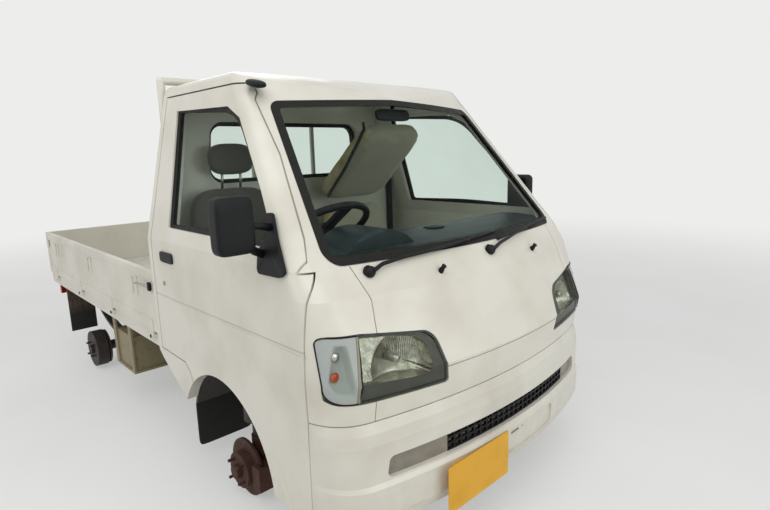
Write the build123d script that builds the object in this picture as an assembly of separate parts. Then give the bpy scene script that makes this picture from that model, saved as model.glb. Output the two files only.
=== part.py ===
from build123d import *
import math
import os

os.makedirs("parts", exist_ok=True)

# Everything is drawn in the vehicle frame: x to the truck's left, y backwards from the bumper's front face,
# z up from the ground its tyres would stand on. save() moves each piece to the row frame, whose origin is the
# middle of the whole truck's box: the left mirror is folded back, so that box reaches further to the right.
MIRROR_X = 905.0
FOLDED_MIRROR_X = 800.0
MIDDLE_X = (FOLDED_MIRROR_X - MIRROR_X) / 2
MIDDLE_Y = 1690.0
HALF_WIDTH = 737.0
ROOF_Z = 1745.0
WHEELBASE = 1900.0
FRONT_AXLE_Y = 809.0
REAR_AXLE_Y = FRONT_AXLE_Y + WHEELBASE
FRONT_HUB_Z = 212.0
REAR_HUB_Z = 226.0
SETBACK = 4.0
DISC_R = 115.5
DRUM_R = 114.0
FLOOR_Z = FRONT_HUB_Z - DISC_R

# Cab skin
CAB_REAR_Y = 1375.0
BELT_Z = 1090.0
TUMBLEHOME = 0.2246
SKIN_T = 45.0
SEAM = 3.0
DOOR_GAP = 6.0
DOOR_BOTTOM_Z = 298.0
DOOR_TOP_Z = 1672.0
DOOR_REAR_Y = 1335.0
DOOR_LOW_REAR_Z = 600.0
HINGE_X = 712.0
HINGE_Y = 282.0
HINGE_REACH = 46.0
ARCH_Z = 260.0
ARCH_R = 353.0
LINER_T = 12.0
NOSE_SEAM_Z = 760.0
CORNER_SEAM_X = 591.0
BUMPER_TOP_Z = 645.0
BUMPER_BOTTOM_Z = 300.0
BUMPER_T = 30.0
COWL_Z = 1094.0

# Load bed
BED_FRONT_Y = 1392.0
TAIL_Y = 3383.0
GATE_TOP_Z = 931.0
GATE_BOTTOM_Z = 650.0
GATE_T = 28.0
GATE_X = 730.0
DECK_Z = 663.0
DECK_T = 20.0
PIN_X = 733.0
PIN_Z = 627.0
PIN_R = 6.0
KNUCKLE_R = 9.0
GATE_HINGES = (1458.0, 2030.0, 2602.0, 3174.0)
TAIL_HINGES = (-500.0, 0.0, 500.0)


def save(name, shape):
    """Move one piece from the vehicle frame to the row frame and write its STEP file."""
    export_step(Pos(-MIDDLE_X, -MIDDLE_Y, -FLOOR_Z) * group(shape), f"parts/{name}.step")


def group(*shapes):
    """Separate solids kept as one piece."""
    solids = [solid for shape in shapes for solid in shape.solids()]
    return solids[0] if len(solids) == 1 else Compound(solids)


def box(x0, x1, y0, y1, z0, z1):
    """Box between two corners."""
    return Pos((x0 + x1) / 2, (y0 + y1) / 2, (z0 + z1) / 2) * Box(abs(x1 - x0), abs(y1 - y0), abs(z1 - z0))


def rod(p, q, r):
    """Round bar from p to q."""
    a, b = Vector(*p), Vector(*q)
    return extrude(Plane(origin=a, z_dir=b - a) * Circle(r), (b - a).length)


def side_prism(points, x0, x1):
    """Side view outline in y and z, drawn out from x0 to x1."""
    face = make_face(Polyline(*[(x0, y, z) for y, z in points], close=True))
    return extrude(face, x1 - x0, dir=(1, 0, 0))


def front_prism(points, y0, y1):
    """Front view outline in x and z, drawn out from y0 to y1."""
    face = make_face(Polyline(*[(x, y0, z) for x, z in points], close=True))
    return extrude(face, y1 - y0, dir=(0, 1, 0))


def plan_prism(points, z0, z1):
    """Plan outline in x and y, drawn out from z0 to z1."""
    face = make_face(Polyline(*[(x, y, z0) for x, y in points], close=True))
    return extrude(face, z1 - z0, dir=(0, 0, 1))


def pair(shape):
    """A piece and its mirror image across the middle plane."""
    return group(shape, mirror(shape, Plane.YZ))


def half_width(z):
    return HALF_WIDTH if z < BELT_Z else HALF_WIDTH - TUMBLEHOME * (z - BELT_Z)


# Nose and windscreen in plan, per height: middle y, radius of the front curve, radius of the corner.
SKIN = (
    (200.0, 27.0, 2446.0, 170.0),
    (640.0, 27.0, 2446.0, 170.0),
    (771.0, 8.0, 2446.0, 170.0),
    (1010.0, 100.0, 2486.0, 104.0),
    (1094.0, 162.0, 2500.0, 80.0),
    (1610.0, 590.0, 2000.0, 60.0),
    (1790.0, 739.0, 1900.0, 60.0),
)
BUMPER_SKIN = (
    (BUMPER_BOTTOM_Z, 18.0, 2446.0, 170.0),
    (338.0, 3.0, 2446.0, 170.0),
    (436.0, 0.0, 2446.0, 170.0),
    (450.0, 9.0, 2446.0, 170.0),
    (575.0, 9.0, 2446.0, 170.0),
    (612.0, 15.0, 2446.0, 170.0),
    (BUMPER_TOP_Z - 1, 27.0, 2446.0, 170.0),
)


def plan_face(z, yc, rf, rc, inset, rear):
    """Closed plan outline of the cab at one height, moved inwards by inset."""
    w = half_width(z) - inset
    yc = yc + inset
    rf = rf - inset
    rc = max(rc - inset, 20.0)
    cx = w - rc
    yb = yc + rf - math.sqrt((rf - rc) ** 2 - cx ** 2)
    k = rf / (rf - rc)
    tx, ty = cx * k, yc + rf - (yc + rf - yb) * k
    mx, my = (tx - cx) / rc + 1.0, (ty - yb) / rc
    n = math.hypot(mx, my)
    mx, my = cx + rc * mx / n, yb + rc * my / n
    edges = [
        ThreePointArc((-tx, ty, z), (0, yc, z), (tx, ty, z)),
        ThreePointArc((tx, ty, z), (mx, my, z), (w, yb, z)),
        Line((w, yb, z), (w, rear, z)),
        Line((w, rear, z), (-w, rear, z)),
        Line((-w, rear, z), (-w, yb, z)),
        ThreePointArc((-w, yb, z), (-mx, my, z), (-tx, ty, z)),
    ]
    return make_face(edges)


def skin_body(rows, inset, rear):
    """Solid inside the skin, moved inwards by inset."""
    return loft([plan_face(z, yc, rf, rc, inset, rear) for z, yc, rf, rc in rows], ruled=True)


def roof_limit(drop):
    """Space under the roof: crown and rounded edges seen from the front, header curve seen from the side."""
    z = -drop
    edge_x = half_width(1681.0) - drop * 0.9
    front = make_face([
        Line((-900, 0, 100), (900, 0, 100)),
        Line((900, 0, 100), (900, 0, 1681 + z)),
        Line((900, 0, 1681 + z), (edge_x, 0, 1681 + z)),
        ThreePointArc((edge_x, 0, 1681 + z), (edge_x - 11, 0, 1711 + z), (edge_x - 40, 0, 1724 + z)),
        ThreePointArc((edge_x - 40, 0, 1724 + z), (0, 0, ROOF_Z + z), (-edge_x + 40, 0, 1724 + z)),
        ThreePointArc((-edge_x + 40, 0, 1724 + z), (-edge_x + 11, 0, 1711 + z), (-edge_x, 0, 1681 + z)),
        Line((-edge_x, 0, 1681 + z), (-900, 0, 1681 + z)),
        Line((-900, 0, 1681 + z), (-900, 0, 100)),
    ])
    y = drop
    side = make_face([
        Line((0, -200, 100), (0, -200, 1634 + z)),
        Line((0, -200, 1634 + z), (0, 606 + y, 1634 + z)),
        ThreePointArc((0, 606 + y, 1634 + z), (0, 770 + y, 1708 + z), (0, 1010 + y, ROOF_Z + 2 + z)),
        Line((0, 1010 + y, ROOF_Z + 2 + z), (0, 1300 - y, ROOF_Z + z)),
        ThreePointArc((0, 1300 - y, ROOF_Z + z), (0, 1352 - y, 1726 + z), (0, CAB_REAR_Y - y, 1680 + z)),
        Line((0, CAB_REAR_Y - y, 1680 + z), (0, 1500, 1680 + z)),
        Line((0, 1500, 1680 + z), (0, 1500, 100)),
        Line((0, 1500, 100), (0, -200, 100)),
    ])
    return extrude(front, 1800, dir=(0, 1, 0), both=True) & extrude(side, 1000, dir=(1, 0, 0), both=True)


def cab_solid(inset):
    """Closed cab body at a depth below the outer skin."""
    return skin_body(SKIN, inset, CAB_REAR_Y - inset) & roof_limit(inset)


outer = cab_solid(0.0)
inner = cab_solid(SKIN_T)
clear_inner = cab_solid(SKIN_T + DOOR_GAP)
shell = outer - inner

arch = Pos(0, FRONT_AXLE_Y, ARCH_Z) * Rot(0, 90, 0) * Cylinder(ARCH_R, 1600)
above_floor = box(-800, 800, 0, 1400, DOOR_BOTTOM_Z, 1800)
quarter_cut = side_prism([(1040, 200), (1040, 385), (1064, 392), (1338, 556), (1376, 586), (1400, 586), (1400, 200)],
                         -800, 800)
shell = (shell & above_floor) - arch - quarter_cut

# Shallow line pressed along both sides, over the handles' lower edge
LINE_Z = 852.0
LINE_H = 8.0
LINE_DEEP = 1.4
LINE_FRONT_Y = 225.0
side_line = (outer - cab_solid(LINE_DEEP)) & pair(
    box(-800, -650, LINE_FRONT_Y, CAB_REAR_Y - 30, LINE_Z - LINE_H / 2, LINE_Z + LINE_H / 2))
shell = shell - side_line

# Window openings
WINDSCREEN = ((-634, 1098), (634, 1098), (536, 1612), (0, 1633), (-536, 1612))
REAR_WINDOW = (455.0, 1303.0, 1581.0)
REAR_WINDOW_SLANT = 25.0
REAR_WINDOW_R = 70.0
DOOR_WINDOW = ((1222, 1612), (790, 1600), (694, 1556), (500, 1322), (372, 1150), (1170, 1150))


def rounded(points, y0, y1, radius, view=front_prism):
    """Outline drawn out with its long corners rounded."""
    solid = view(points, y0, y1)
    axis = Axis.Y if view is front_prism else Axis.X
    return fillet(solid.edges().filter_by(axis), radius)


def windscreen_cut(inset):
    (x0, z0), (x1, z1), (x2, z2), (xm, zm), (x3, z3) = WINDSCREEN
    k = inset
    pts = [(x0 + 1.25 * k, z0 + k), (x1 - 1.25 * k, z1 + k), (x2 - k, z2 - k), (xm, zm - k), (x3 + k, z3 - k)]
    return rounded(pts, -100, 900, max(45.0 - k, 15.0))


def rear_window_cut(inset):
    w, z0, z1 = REAR_WINDOW
    top = w - REAR_WINDOW_SLANT
    pts = [(-w + inset, z0 + inset), (w - inset, z0 + inset), (top - inset, z1 - inset), (-top + inset, z1 - inset)]
    return rounded(pts, CAB_REAR_Y - 90, CAB_REAR_Y + 40, max(REAR_WINDOW_R - inset, 20.0))


def door_window_cut(inset):
    """Side window outline, moved inwards by inset."""
    cy = sum(p[0] for p in DOOR_WINDOW) / len(DOOR_WINDOW)
    cz = sum(p[1] for p in DOOR_WINDOW) / len(DOOR_WINDOW)
    pts = []
    for y, z in DOOR_WINDOW:
        d = math.hypot(y - cy, z - cz)
        pts.append((y - (y - cy) * inset / d * 1.3, z - (z - cz) * inset / d * 1.3))
    return side_prism(pts, -900, -500)


# Right door
swing = Pos(-HINGE_X, HINGE_Y, 900) * Cylinder(HINGE_REACH, 2000)
swing_space = Pos(-HINGE_X, HINGE_Y, 900) * Cylinder(HINGE_REACH + DOOR_GAP, 2000)


DOOR_INNER_X = 680.0
PILLAR_FOOT_Z = 1086.0


def door_zone(grow):
    """Space of the right door, grown outwards by grow for the opening around it."""
    g = grow
    side = side_prism([
        (HINGE_Y - g, DOOR_BOTTOM_Z - g - 50), (1040, DOOR_BOTTOM_Z - g - 50), (1036 + g, 520),
        (1060 + g, 570 - g), (1100 + g, DOOR_LOW_REAR_Z - g), (DOOR_REAR_Y + g, DOOR_LOW_REAR_Z + 6 - g),
        (DOOR_REAR_Y + g, DOOR_TOP_Z + g), (HINGE_Y - g, DOOR_TOP_Z + g),
    ], -900, -400)
    seam = front_prism([
        (-900, 200), (-DOOR_INNER_X + g, 200), (-DOOR_INNER_X + g, 1080 + g), (-690 + g, 1098 + g),
        (-656 + g, 1180), (-594 + g, 1430), (-579 + g, 1615), (-560 + g, 1640), (-560 + g, 1700), (-900, 1700),
    ], -100, 1500)
    near = swing if grow == 0 else swing_space
    return (side & seam) + (near & box(-900, -400, 0, 400, DOOR_BOTTOM_Z - g - 50, PILLAR_FOOT_Z + g))


door_cut = door_zone(DOOR_GAP)
door = (shell & door_zone(0.0)) - door_window_cut(0.0)
shell_open = shell - door_cut - mirror(door_cut, Plane.YZ)

glass_door = (cab_solid(16.0) - cab_solid(21.0)) & door_window_cut(0.0) & door_zone(0.0)

# Headlamp outline seen from the front, right side, with the radius of each corner
LAMP = ((-728, 918, 22), (-607, 913, 40), (-356, 879, 60), (-325, 706, 10), (-730, 716, 45))
LAMP_REAR_Y = 182.0
LAMP_WALL = 7.0
DISH_X, DISH_Z = -490.0, 812.0
DISH_R = 169.5
DISH_Y = -19.5
CORNER_LAMP_X = -640.0


def lamp_cut(rear, grow=0.0):
    """Headlamp outline drawn back to rear, its outline grown outwards by grow."""
    outline = FilletPolyline(*[(x, -50, z) for x, z, r in LAMP], radius=[r for x, z, r in LAMP], close=True)
    face = make_face(outline)
    if grow:
        face = offset(face, amount=grow)
    return extrude(face, rear + 50, dir=(0, 1, 0))


lamp_r = lamp_cut(LAMP_REAR_Y)
lamps = lamp_r + mirror(lamp_r, Plane.YZ)
nose = shell_open & box(-800, 800, -50, HINGE_Y, 300, COWL_Z)
nose = nose - lamps
upper_zone = front_prism([(-584, 1200), (-540, 996), (-552, 900), (-552, NOSE_SEAM_Z + SEAM / 2),
                          (552, NOSE_SEAM_Z + SEAM / 2), (552, 900), (540, 996), (584, 1200)], -50, 400)
upper_gap = front_prism([(-584 - SEAM, 1200), (-540 - SEAM, 996), (-552 - SEAM, 900),
                         (-552 - SEAM, NOSE_SEAM_Z - SEAM / 2), (552 + SEAM, NOSE_SEAM_Z - SEAM / 2),
                         (552 + SEAM, 900), (540 + SEAM, 996), (584 + SEAM, 1200)], -50, 400)
lower_zone = box(-CORNER_SEAM_X, CORNER_SEAM_X, -50, 400, BUMPER_TOP_Z + SEAM, NOSE_SEAM_Z - SEAM / 2)
lower_gap = box(-CORNER_SEAM_X - SEAM, CORNER_SEAM_X + SEAM, -50, 400, 200, NOSE_SEAM_Z - SEAM / 2)
above_bumper = box(-800, 800, -50, 400, BUMPER_TOP_Z + SEAM, 1200)
front_panel = nose & upper_zone
lower_front_panel = (nose & lower_zone) - upper_zone
front_corners = (nose - upper_gap - lower_gap) & above_bumper
cab_top = shell_open - box(-800, 800, -50, HINGE_Y + 1, 200, COWL_Z)
cab_top = cab_top - windscreen_cut(0.0) - rear_window_cut(0.0)

# Glass and its rubber
seal_front = (cab_solid(-3.0) - cab_solid(20.0)) & (windscreen_cut(0.0) - windscreen_cut(24.0))
seal_rear = (skin_body(SKIN, -3.0, CAB_REAR_Y + 3) - skin_body(SKIN, 20.0, CAB_REAR_Y - 20)) & (
    rear_window_cut(0.0) - rear_window_cut(18.0))
glass_front = (cab_solid(6.0) - cab_solid(11.0)) & windscreen_cut(24.0)
glass_rear = (cab_solid(6.0) - cab_solid(10.0)) & rear_window_cut(18.0)

# Headlamps: a case, a chrome bowl in it and a clear front
lens_shell = outer - cab_solid(4.0)
lamp_glass = lens_shell & lamp_r
lamp_case = cab_solid(4.0) & lamp_r
lamp_inside = lamp_cut(LAMP_REAR_Y - 10, -LAMP_WALL)
lamp_tray = ((outer - cab_solid(30.0)) & lamp_inside) - box(CORNER_LAMP_X - 4, CORNER_LAMP_X + 4, -50, 300, 600, 1000)
lamp_dish = Pos(DISH_X, DISH_Y, DISH_Z) * Sphere(DISH_R) & lamp_inside & box(CORNER_LAMP_X + 6, -200, -50, 300, 600, 1000)
lamp_case = lamp_case - lamp_tray - lamp_dish

# Bumper
bumper_solid = skin_body(BUMPER_SKIN, 0.0, 300.0)
bumper_in = skin_body([(z, yc, rf, rc) for z, yc, rf, rc in BUMPER_SKIN], BUMPER_T, 300.0)
SLOT_X, SLOT_Z0, SLOT_Z1 = 570.0, 458.0, 528.0
SLOT_R = 20.0
slot = rounded([(-SLOT_X, SLOT_Z0), (SLOT_X, SLOT_Z0), (SLOT_X - 12, SLOT_Z1), (-SLOT_X + 12, SLOT_Z1)],
               -60, 400, SLOT_R)
MESH_X0, MESH_X1 = -327.0, 440.0
SLOT_DEEP = 14.0
mesh_zone = box(MESH_X0, MESH_X1, -60, 400, SLOT_Z0 - 10, SLOT_Z1 + 10)
POCKET_X, POCKET_Z0, POCKET_Z1 = 293.0, 338.0, 420.0
POCKET_DEEP = 6.0
plate_pocket = rounded([(-POCKET_X, POCKET_Z0), (POCKET_X, POCKET_Z0), (POCKET_X, POCKET_Z1), (-POCKET_X, POCKET_Z1)],
                       -60, 400, SLOT_R) - skin_body(BUMPER_SKIN, POCKET_DEEP, 300.0)
bumper = bumper_solid - bumper_in - box(-800, 800, 236 - 0.5, 400, 200, 700)
bumper = bumper - (slot & mesh_zone) - (slot - skin_body(BUMPER_SKIN, SLOT_DEEP, 300.0)) - plate_pocket
bumper = bumper - box(-12, 38, -60, 100, 404, 414) - box(58, 66, -60, 100, 408, 420)
bumper = bumper - swing_space - mirror(swing_space, Plane.YZ)
grille_skin = skin_body(BUMPER_SKIN, SLOT_DEEP, 300.0) - skin_body(BUMPER_SKIN, SLOT_DEEP + 10, 300.0)
MESH_COLUMNS, MESH_ROWS = 24, 3
MESH_W, MESH_H = 25.0, 15.0
mesh_pitch = (MESH_X1 - MESH_X0) / MESH_COLUMNS
mesh_holes = [box(MESH_X0 + (i + 0.5) * mesh_pitch - MESH_W / 2, MESH_X0 + (i + 0.5) * mesh_pitch + MESH_W / 2, -50, 110,
                  SLOT_Z0 + 6 + 21.5 * k, SLOT_Z0 + 6 + 21.5 * k + MESH_H)
              for i in range(MESH_COLUMNS) for k in range(MESH_ROWS)]
grille = (grille_skin & slot & mesh_zone) - mesh_holes

save("cab_shell", cab_top)
save("front_panel", front_panel)
save("lower_front_panel", lower_front_panel)
save("front_corners", front_corners)
save("bumper", bumper)
save("bumper_grille", grille)
save("headlamps", pair(lamp_case))
save("headlamp_lenses", pair(lamp_glass))
save("window_seals", group(seal_front, seal_rear))
save("cab_glass", group(glass_front, glass_rear))
save("door_right", door)
save("door_left", mirror(door, Plane.YZ))
save("door_glass_right", glass_door)
save("door_glass_left", mirror(glass_door, Plane.YZ))

# Cab floor: toe board, low floor, riser and seat deck, with wheel housings over the front wheels
FLOOR_PLATE = 18.0
LOW_FLOOR_Z = 432.0
SEAT_DECK_Z = 640.0
RISER_Y = 690.0
LINER_X = 470.0
TOWER_X = 585.0
profile_floor = [(72, 418), (646, 418), (RISER_Y + 18, 622), (1330, 622), (1330, SEAT_DECK_Z),
                 (RISER_Y, SEAT_DECK_Z), (628, LOW_FLOOR_Z + 6), (92, LOW_FLOOR_Z + 6), (76, 771), (222, 1076),
                 (205, 1076), (58, 771)]
floor_plate = side_prism(profile_floor, -700, 700)
fit_front = cab_solid(SKIN_T) & box(-800, 800, -50, 236, 400, 1100)
fit_rear = clear_inner & box(-800, 800, 236, 1400, 400, 1100)
cabin_plan = plan_prism([(-655, 236), (-676, 262), (-686, 300), (-686, 1330), (686, 1330), (686, 300), (676, 262),
                         (655, 236)], 400, 700)
floor_plate = (floor_plate & fit_front) + (floor_plate & cabin_plan)


def housing(radius, x_in, x_out):
    """Half drum over the right front wheel."""
    drum = Pos((x_in + x_out) / 2, FRONT_AXLE_Y, ARCH_Z) * Rot(0, 90, 0) * Cylinder(radius, x_out - x_in)
    return drum & box(-800, 800, 0, 1400, ARCH_Z + 120, 900)


wheel_space = housing(ARCH_R + 5, -686, -LINER_X)
wheel_cover = housing(ARCH_R + 5 + LINER_T, -686, -LINER_X + LINER_T)
tower = Pos(-TOWER_X, FRONT_AXLE_Y, 640) * Cylinder(75, 80)
covers = (wheel_cover + tower) & (clear_inner + box(-686, 0, 240, 1330, 300, 460))
cover_hollow = wheel_space + (Pos(-TOWER_X, FRONT_AXLE_Y, 620) * Cylinder(63, 90))
housings = pair(covers - cover_hollow)
lamp_pocket = lamp_cut(LAMP_REAR_Y + 4, 4.0)
cab_floor = floor_plate - covers - mirror(covers, Plane.YZ) - swing_space - mirror(swing_space, Plane.YZ)
cab_floor = cab_floor - lamp_pocket - mirror(lamp_pocket, Plane.YZ)
seat_feet = [box(s * x - 15, s * x + 15, y, y + 40, SEAT_DECK_Z, z1)
             for s, x, y, z1 in ((-1, 190, 760, 772), (-1, 480, 760, 772), (-1, 190, 1120, 772), (-1, 580, 1120, 772),
                                 (1, 140, 1080, 690), (1, 460, 1080, 690))]
for foot in seat_feet:
    cab_floor = cab_floor + foot

# Dashboard and instrument hood
dash_profile = [(224, 1070), (250, 1098), (420, 1112), (520, 1086), (566, 1010), (548, 905), (430, 880), (330, 880),
                (230, 1000)]
dash_core = side_prism(dash_profile, -700, 700)
dash = (dash_core & fit_front) + (dash_core & fit_rear)
hood = make_face([Line((-526, 300, 1095), (-184, 300, 1095)),
                  ThreePointArc((-184, 300, 1095), (-355, 300, 1176), (-526, 300, 1095))])
dash = dash + (extrude(hood, 190, dir=(0, 1, 0)) & clear_inner)
WHEEL_C = (-385.0, 601.0, 1144.0)
WHEEL_TILT = 35.0
WHEEL_R = 185.0
RIM_R = 13.0
tilt = math.radians(WHEEL_TILT)
axis_dir = (0.0, math.sin(tilt), math.cos(tilt))


def on_column(t):
    """Point on the steering column, t below the wheel's centre."""
    return tuple(c - t * a for c, a in zip(WHEEL_C, axis_dir))


dash = dash - rod(on_column(20), on_column(500), 56) - swing_space - mirror(swing_space, Plane.YZ)
SHAFT_R = 9.0
column = rod(on_column(42), on_column(860), 22) + rod(on_column(50), on_column(6), SHAFT_R)
column = column + rod(on_column(60), on_column(260), 46)
column = column - cab_floor - box(-800, 800, -100, 1400, 0, LOW_FLOOR_Z) - box(-800, 800, -100, 60, 0, 900)
wheel_plane = Plane(origin=WHEEL_C, x_dir=(1, 0, 0), z_dir=axis_dir)
rim = wheel_plane * Torus(WHEEL_R, RIM_R)
spokes = wheel_plane * (Pos(0, 0, -8) * (Cylinder(52, 36) + Box(2 * WHEEL_R, 40, 14)
                                         + Pos(0, -WHEEL_R / 2, 0) * Box(44, WHEEL_R, 14)))
steering_wheel = (rim + (spokes & wheel_plane * Cylinder(WHEEL_R, 100))) - rod(on_column(60), on_column(4), SHAFT_R + 0.05)

# Seats: the driver's stands, the passenger's is tipped forwards
DRIVER_X = -385.0
driver = (fillet(box(DRIVER_X - 240, DRIVER_X + 225, 710, 1190, 772, 884).edges(), 28)
          + fillet(side_prism([(1120, 800), (1225, 800), (1322, 1300), (1222, 1312), (1130, 900)],
                              DRIVER_X - 230, DRIVER_X + 215).edges().filter_by(Axis.X), 20))
driver = driver + fillet(box(DRIVER_X - 108, DRIVER_X + 108, 1208, 1290, 1342, 1486).edges(), 24)
driver = driver + rod((DRIVER_X - 45, 1262, 1290), (DRIVER_X - 45, 1250, 1360), 6)
driver = driver + rod((DRIVER_X + 45, 1262, 1290), (DRIVER_X + 45, 1250, 1360), 6)
passenger = (fillet(side_prism([(1240, 1150), (1300, 1220), (860, 1604), (800, 1530)], 60, 500).edges(), 22)
             + fillet(side_prism([(1290, 1190), (1160, 1190), (1040, 740), (1140, 700)], 60, 500).edges(), 22))
passenger = passenger + box(130, 150, 1090, 1110, 690, 730) + box(450, 470, 1090, 1110, 690, 730)

save("cab_floor", cab_floor)
save("wheel_housings", housings)
save("dashboard", group(dash, column))
save("steering_wheel", steering_wheel)
save("driver_seat", driver)
save("passenger_seat", passenger)

# Ladder frame
RAIL_X = 370.0
RAIL_W = 60.0
RAIL_Z0, RAIL_Z1 = 500.0, 577.0
rail_lower = side_prism([(90, 345), (1290, 345), (1480, RAIL_Z0), (3330, RAIL_Z0), (3330, RAIL_Z1), (1400, RAIL_Z1),
                         (1250, 418), (90, 418)], -RAIL_X - RAIL_W / 2, -RAIL_X + RAIL_W / 2)
frame = rail_lower + mirror(rail_lower, Plane.YZ)
for y, z0, z1 in ((120, 350, 400), (560, 350, 400), (1500, 505, 560), (2200, 505, 570),
                  (3240, 505, 570)):
    frame = frame + box(-RAIL_X, RAIL_X, y - 25, y + 25, z0, z1)
for s in (-1, 1):
    for y in (1440, 1800, 2250, 2560, 2860, 3280):
        frame = frame + box(s * RAIL_X - 30, s * RAIL_X + 30, y - 30, y + 30, RAIL_Z1, 600)
    frame = frame + (box(s * RAIL_X - 25, s * RAIL_X + 25, 20, 91, 360, 410) & bumper_in)

# Bed: deck on cross beams, side rails with hinge ears, headboard
deck = box(-697, 697, BED_FRONT_Y, 3348, DECK_Z - DECK_T, DECK_Z)
for y in (1440, 1800, 2250, 2560, 2860, 3280):
    deck = deck + box(-697, 697, y - 30, y + 30, 600, DECK_Z - DECK_T)
for s in (-1, 1):
    deck = deck + box(s * 688, s * 721, BED_FRONT_Y, 3348, 582, DECK_Z - DECK_T)
deck = deck + box(-721, 721, 3330, 3352, 582, DECK_Z - DECK_T)
deck = deck + box(-700, 700, BED_FRONT_Y - 12, BED_FRONT_Y, 582, 900)
GROOVE_W, GROOVE_DEEP, GROOVE_PITCH = 24.0, 3.0, 118.0
GROOVE_Y0, GROOVE_Y1 = 1440.0, 3300.0
grooves = [box(s * i * GROOVE_PITCH - GROOVE_W / 2, s * i * GROOVE_PITCH + GROOVE_W / 2, GROOVE_Y0, GROOVE_Y1,
               DECK_Z - GROOVE_DEEP, DECK_Z + 5) for i in range(1, 6) for s in (-1, 1)]
deck = deck - grooves
for y in GATE_HINGES:
    for s in (-1, 1):
        for e in (-1, 1):
            deck = deck + (box(s * 720, s * (PIN_X + 2), y + e * 24 - 3, y + e * 24 + 3, PIN_Z - 10, PIN_Z + 10))
        deck = deck + rod((s * PIN_X, y - 26, PIN_Z), (s * PIN_X, y + 26, PIN_Z), PIN_R)
TAIL_PIN_Y = TAIL_Y + 3.0 - 9.0
for x in TAIL_HINGES:
    for e in (-1, 1):
        deck = deck + box(x + e * 24 - 3, x + e * 24 + 3, 3350, TAIL_PIN_Y + 4, PIN_Z - 10, PIN_Z + 10)
    deck = deck + rod((x - 26, TAIL_PIN_Y, PIN_Z), (x + 26, TAIL_PIN_Y, PIN_Z), PIN_R)


PANEL_Z0, PANEL_Z1 = 700.0, 886.0
PANEL_DEEP = 5.0
FOLD_Z0, FOLD_Z1 = 897.0, 903.0
HOOK_W, HOOK_Z0, HOOK_Z1, HOOK_R = 60.0, 796.0, 880.0, 4.5
SIDE_HOOKS = (1640.0, 2370.0, 3100.0)
TAIL_HOOKS = (-420.0, 420.0)
LATCH_L, LATCH_H, LATCH_T = 44.0, 58.0, 4.0


def hook(along, out):
    """Rope loop welded to a gate's panel. along and out turn run and depth into a point at a height."""
    left, right = along - HOOK_W / 2, along + HOOK_W / 2
    top = rod(out(left, HOOK_Z1), out(right, HOOK_Z1), HOOK_R)
    legs = rod(out(left, HOOK_Z0), out(left, HOOK_Z1), HOOK_R) + rod(out(right, HOOK_Z0), out(right, HOOK_Z1), HOOK_R)
    ends = [Pos(*out(run, z)) * Sphere(HOOK_R) for run in (left, right) for z in (HOOK_Z0, HOOK_Z1)]
    return top + legs + ends


def side_gate():
    """Right side gate with its hinge straps, rope loops and front latch."""
    gate = box(-GATE_X, -GATE_X + GATE_T, BED_FRONT_Y + 4, 3345, GATE_BOTTOM_Z, GATE_TOP_Z)
    gate = gate - box(-GATE_X - 1, -GATE_X + PANEL_DEEP, 1440, 3310, PANEL_Z0, PANEL_Z1)
    gate = gate - box(-GATE_X - 1, -GATE_X + 1.5, BED_FRONT_Y, 3350, FOLD_Z0, FOLD_Z1)
    for y in SIDE_HOOKS:
        gate = gate + hook(y, lambda run, z: (-GATE_X + 2, run, z))
    for y in (BED_FRONT_Y + 8, 3345 - LATCH_L - 4):
        gate = gate + box(-GATE_X - LATCH_T, -GATE_X + 1, y, y + LATCH_L, 838, 838 + LATCH_H)
    for y in GATE_HINGES:
        gate = gate + box(-GATE_X - 5, -GATE_X + 1, y - 18, y + 18, PIN_Z + 4, 700)
        gate = gate + box(-GATE_X - 5, -GATE_X + 3, y - 18, y + 18, PIN_Z, GATE_BOTTOM_Z)
        gate = gate + rod((-PIN_X, y - 19, PIN_Z), (-PIN_X, y + 19, PIN_Z), KNUCKLE_R)
        gate = gate - rod((-PIN_X, y - 20, PIN_Z), (-PIN_X, y + 20, PIN_Z), PIN_R + 0.3)
    return gate


def tail_gate():
    """Tailgate with its hinge straps and rope loops."""
    gate = box(-724, 724, TAIL_Y - GATE_T, TAIL_Y, GATE_BOTTOM_Z, GATE_TOP_Z)
    gate = gate - box(-640, 640, TAIL_Y - PANEL_DEEP, TAIL_Y + 1, PANEL_Z0, PANEL_Z1)
    gate = gate - box(-730, 730, TAIL_Y - 1.5, TAIL_Y + 1, FOLD_Z0, FOLD_Z1)
    for x in TAIL_HOOKS:
        gate = gate + hook(x, lambda run, z: (run, TAIL_Y - 2, z))
    for x in TAIL_HINGES:
        gate = gate + box(x - 18, x + 18, TAIL_Y - 14, TAIL_Y, PIN_Z, 700)
        gate = gate + rod((x - 19, TAIL_PIN_Y, PIN_Z), (x + 19, TAIL_PIN_Y, PIN_Z), KNUCKLE_R)
        gate = gate - rod((x - 20, TAIL_PIN_Y, PIN_Z), (x + 20, TAIL_PIN_Y, PIN_Z), PIN_R + 0.3)
    return gate


gate_right = side_gate()
tailgate = tail_gate()

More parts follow.
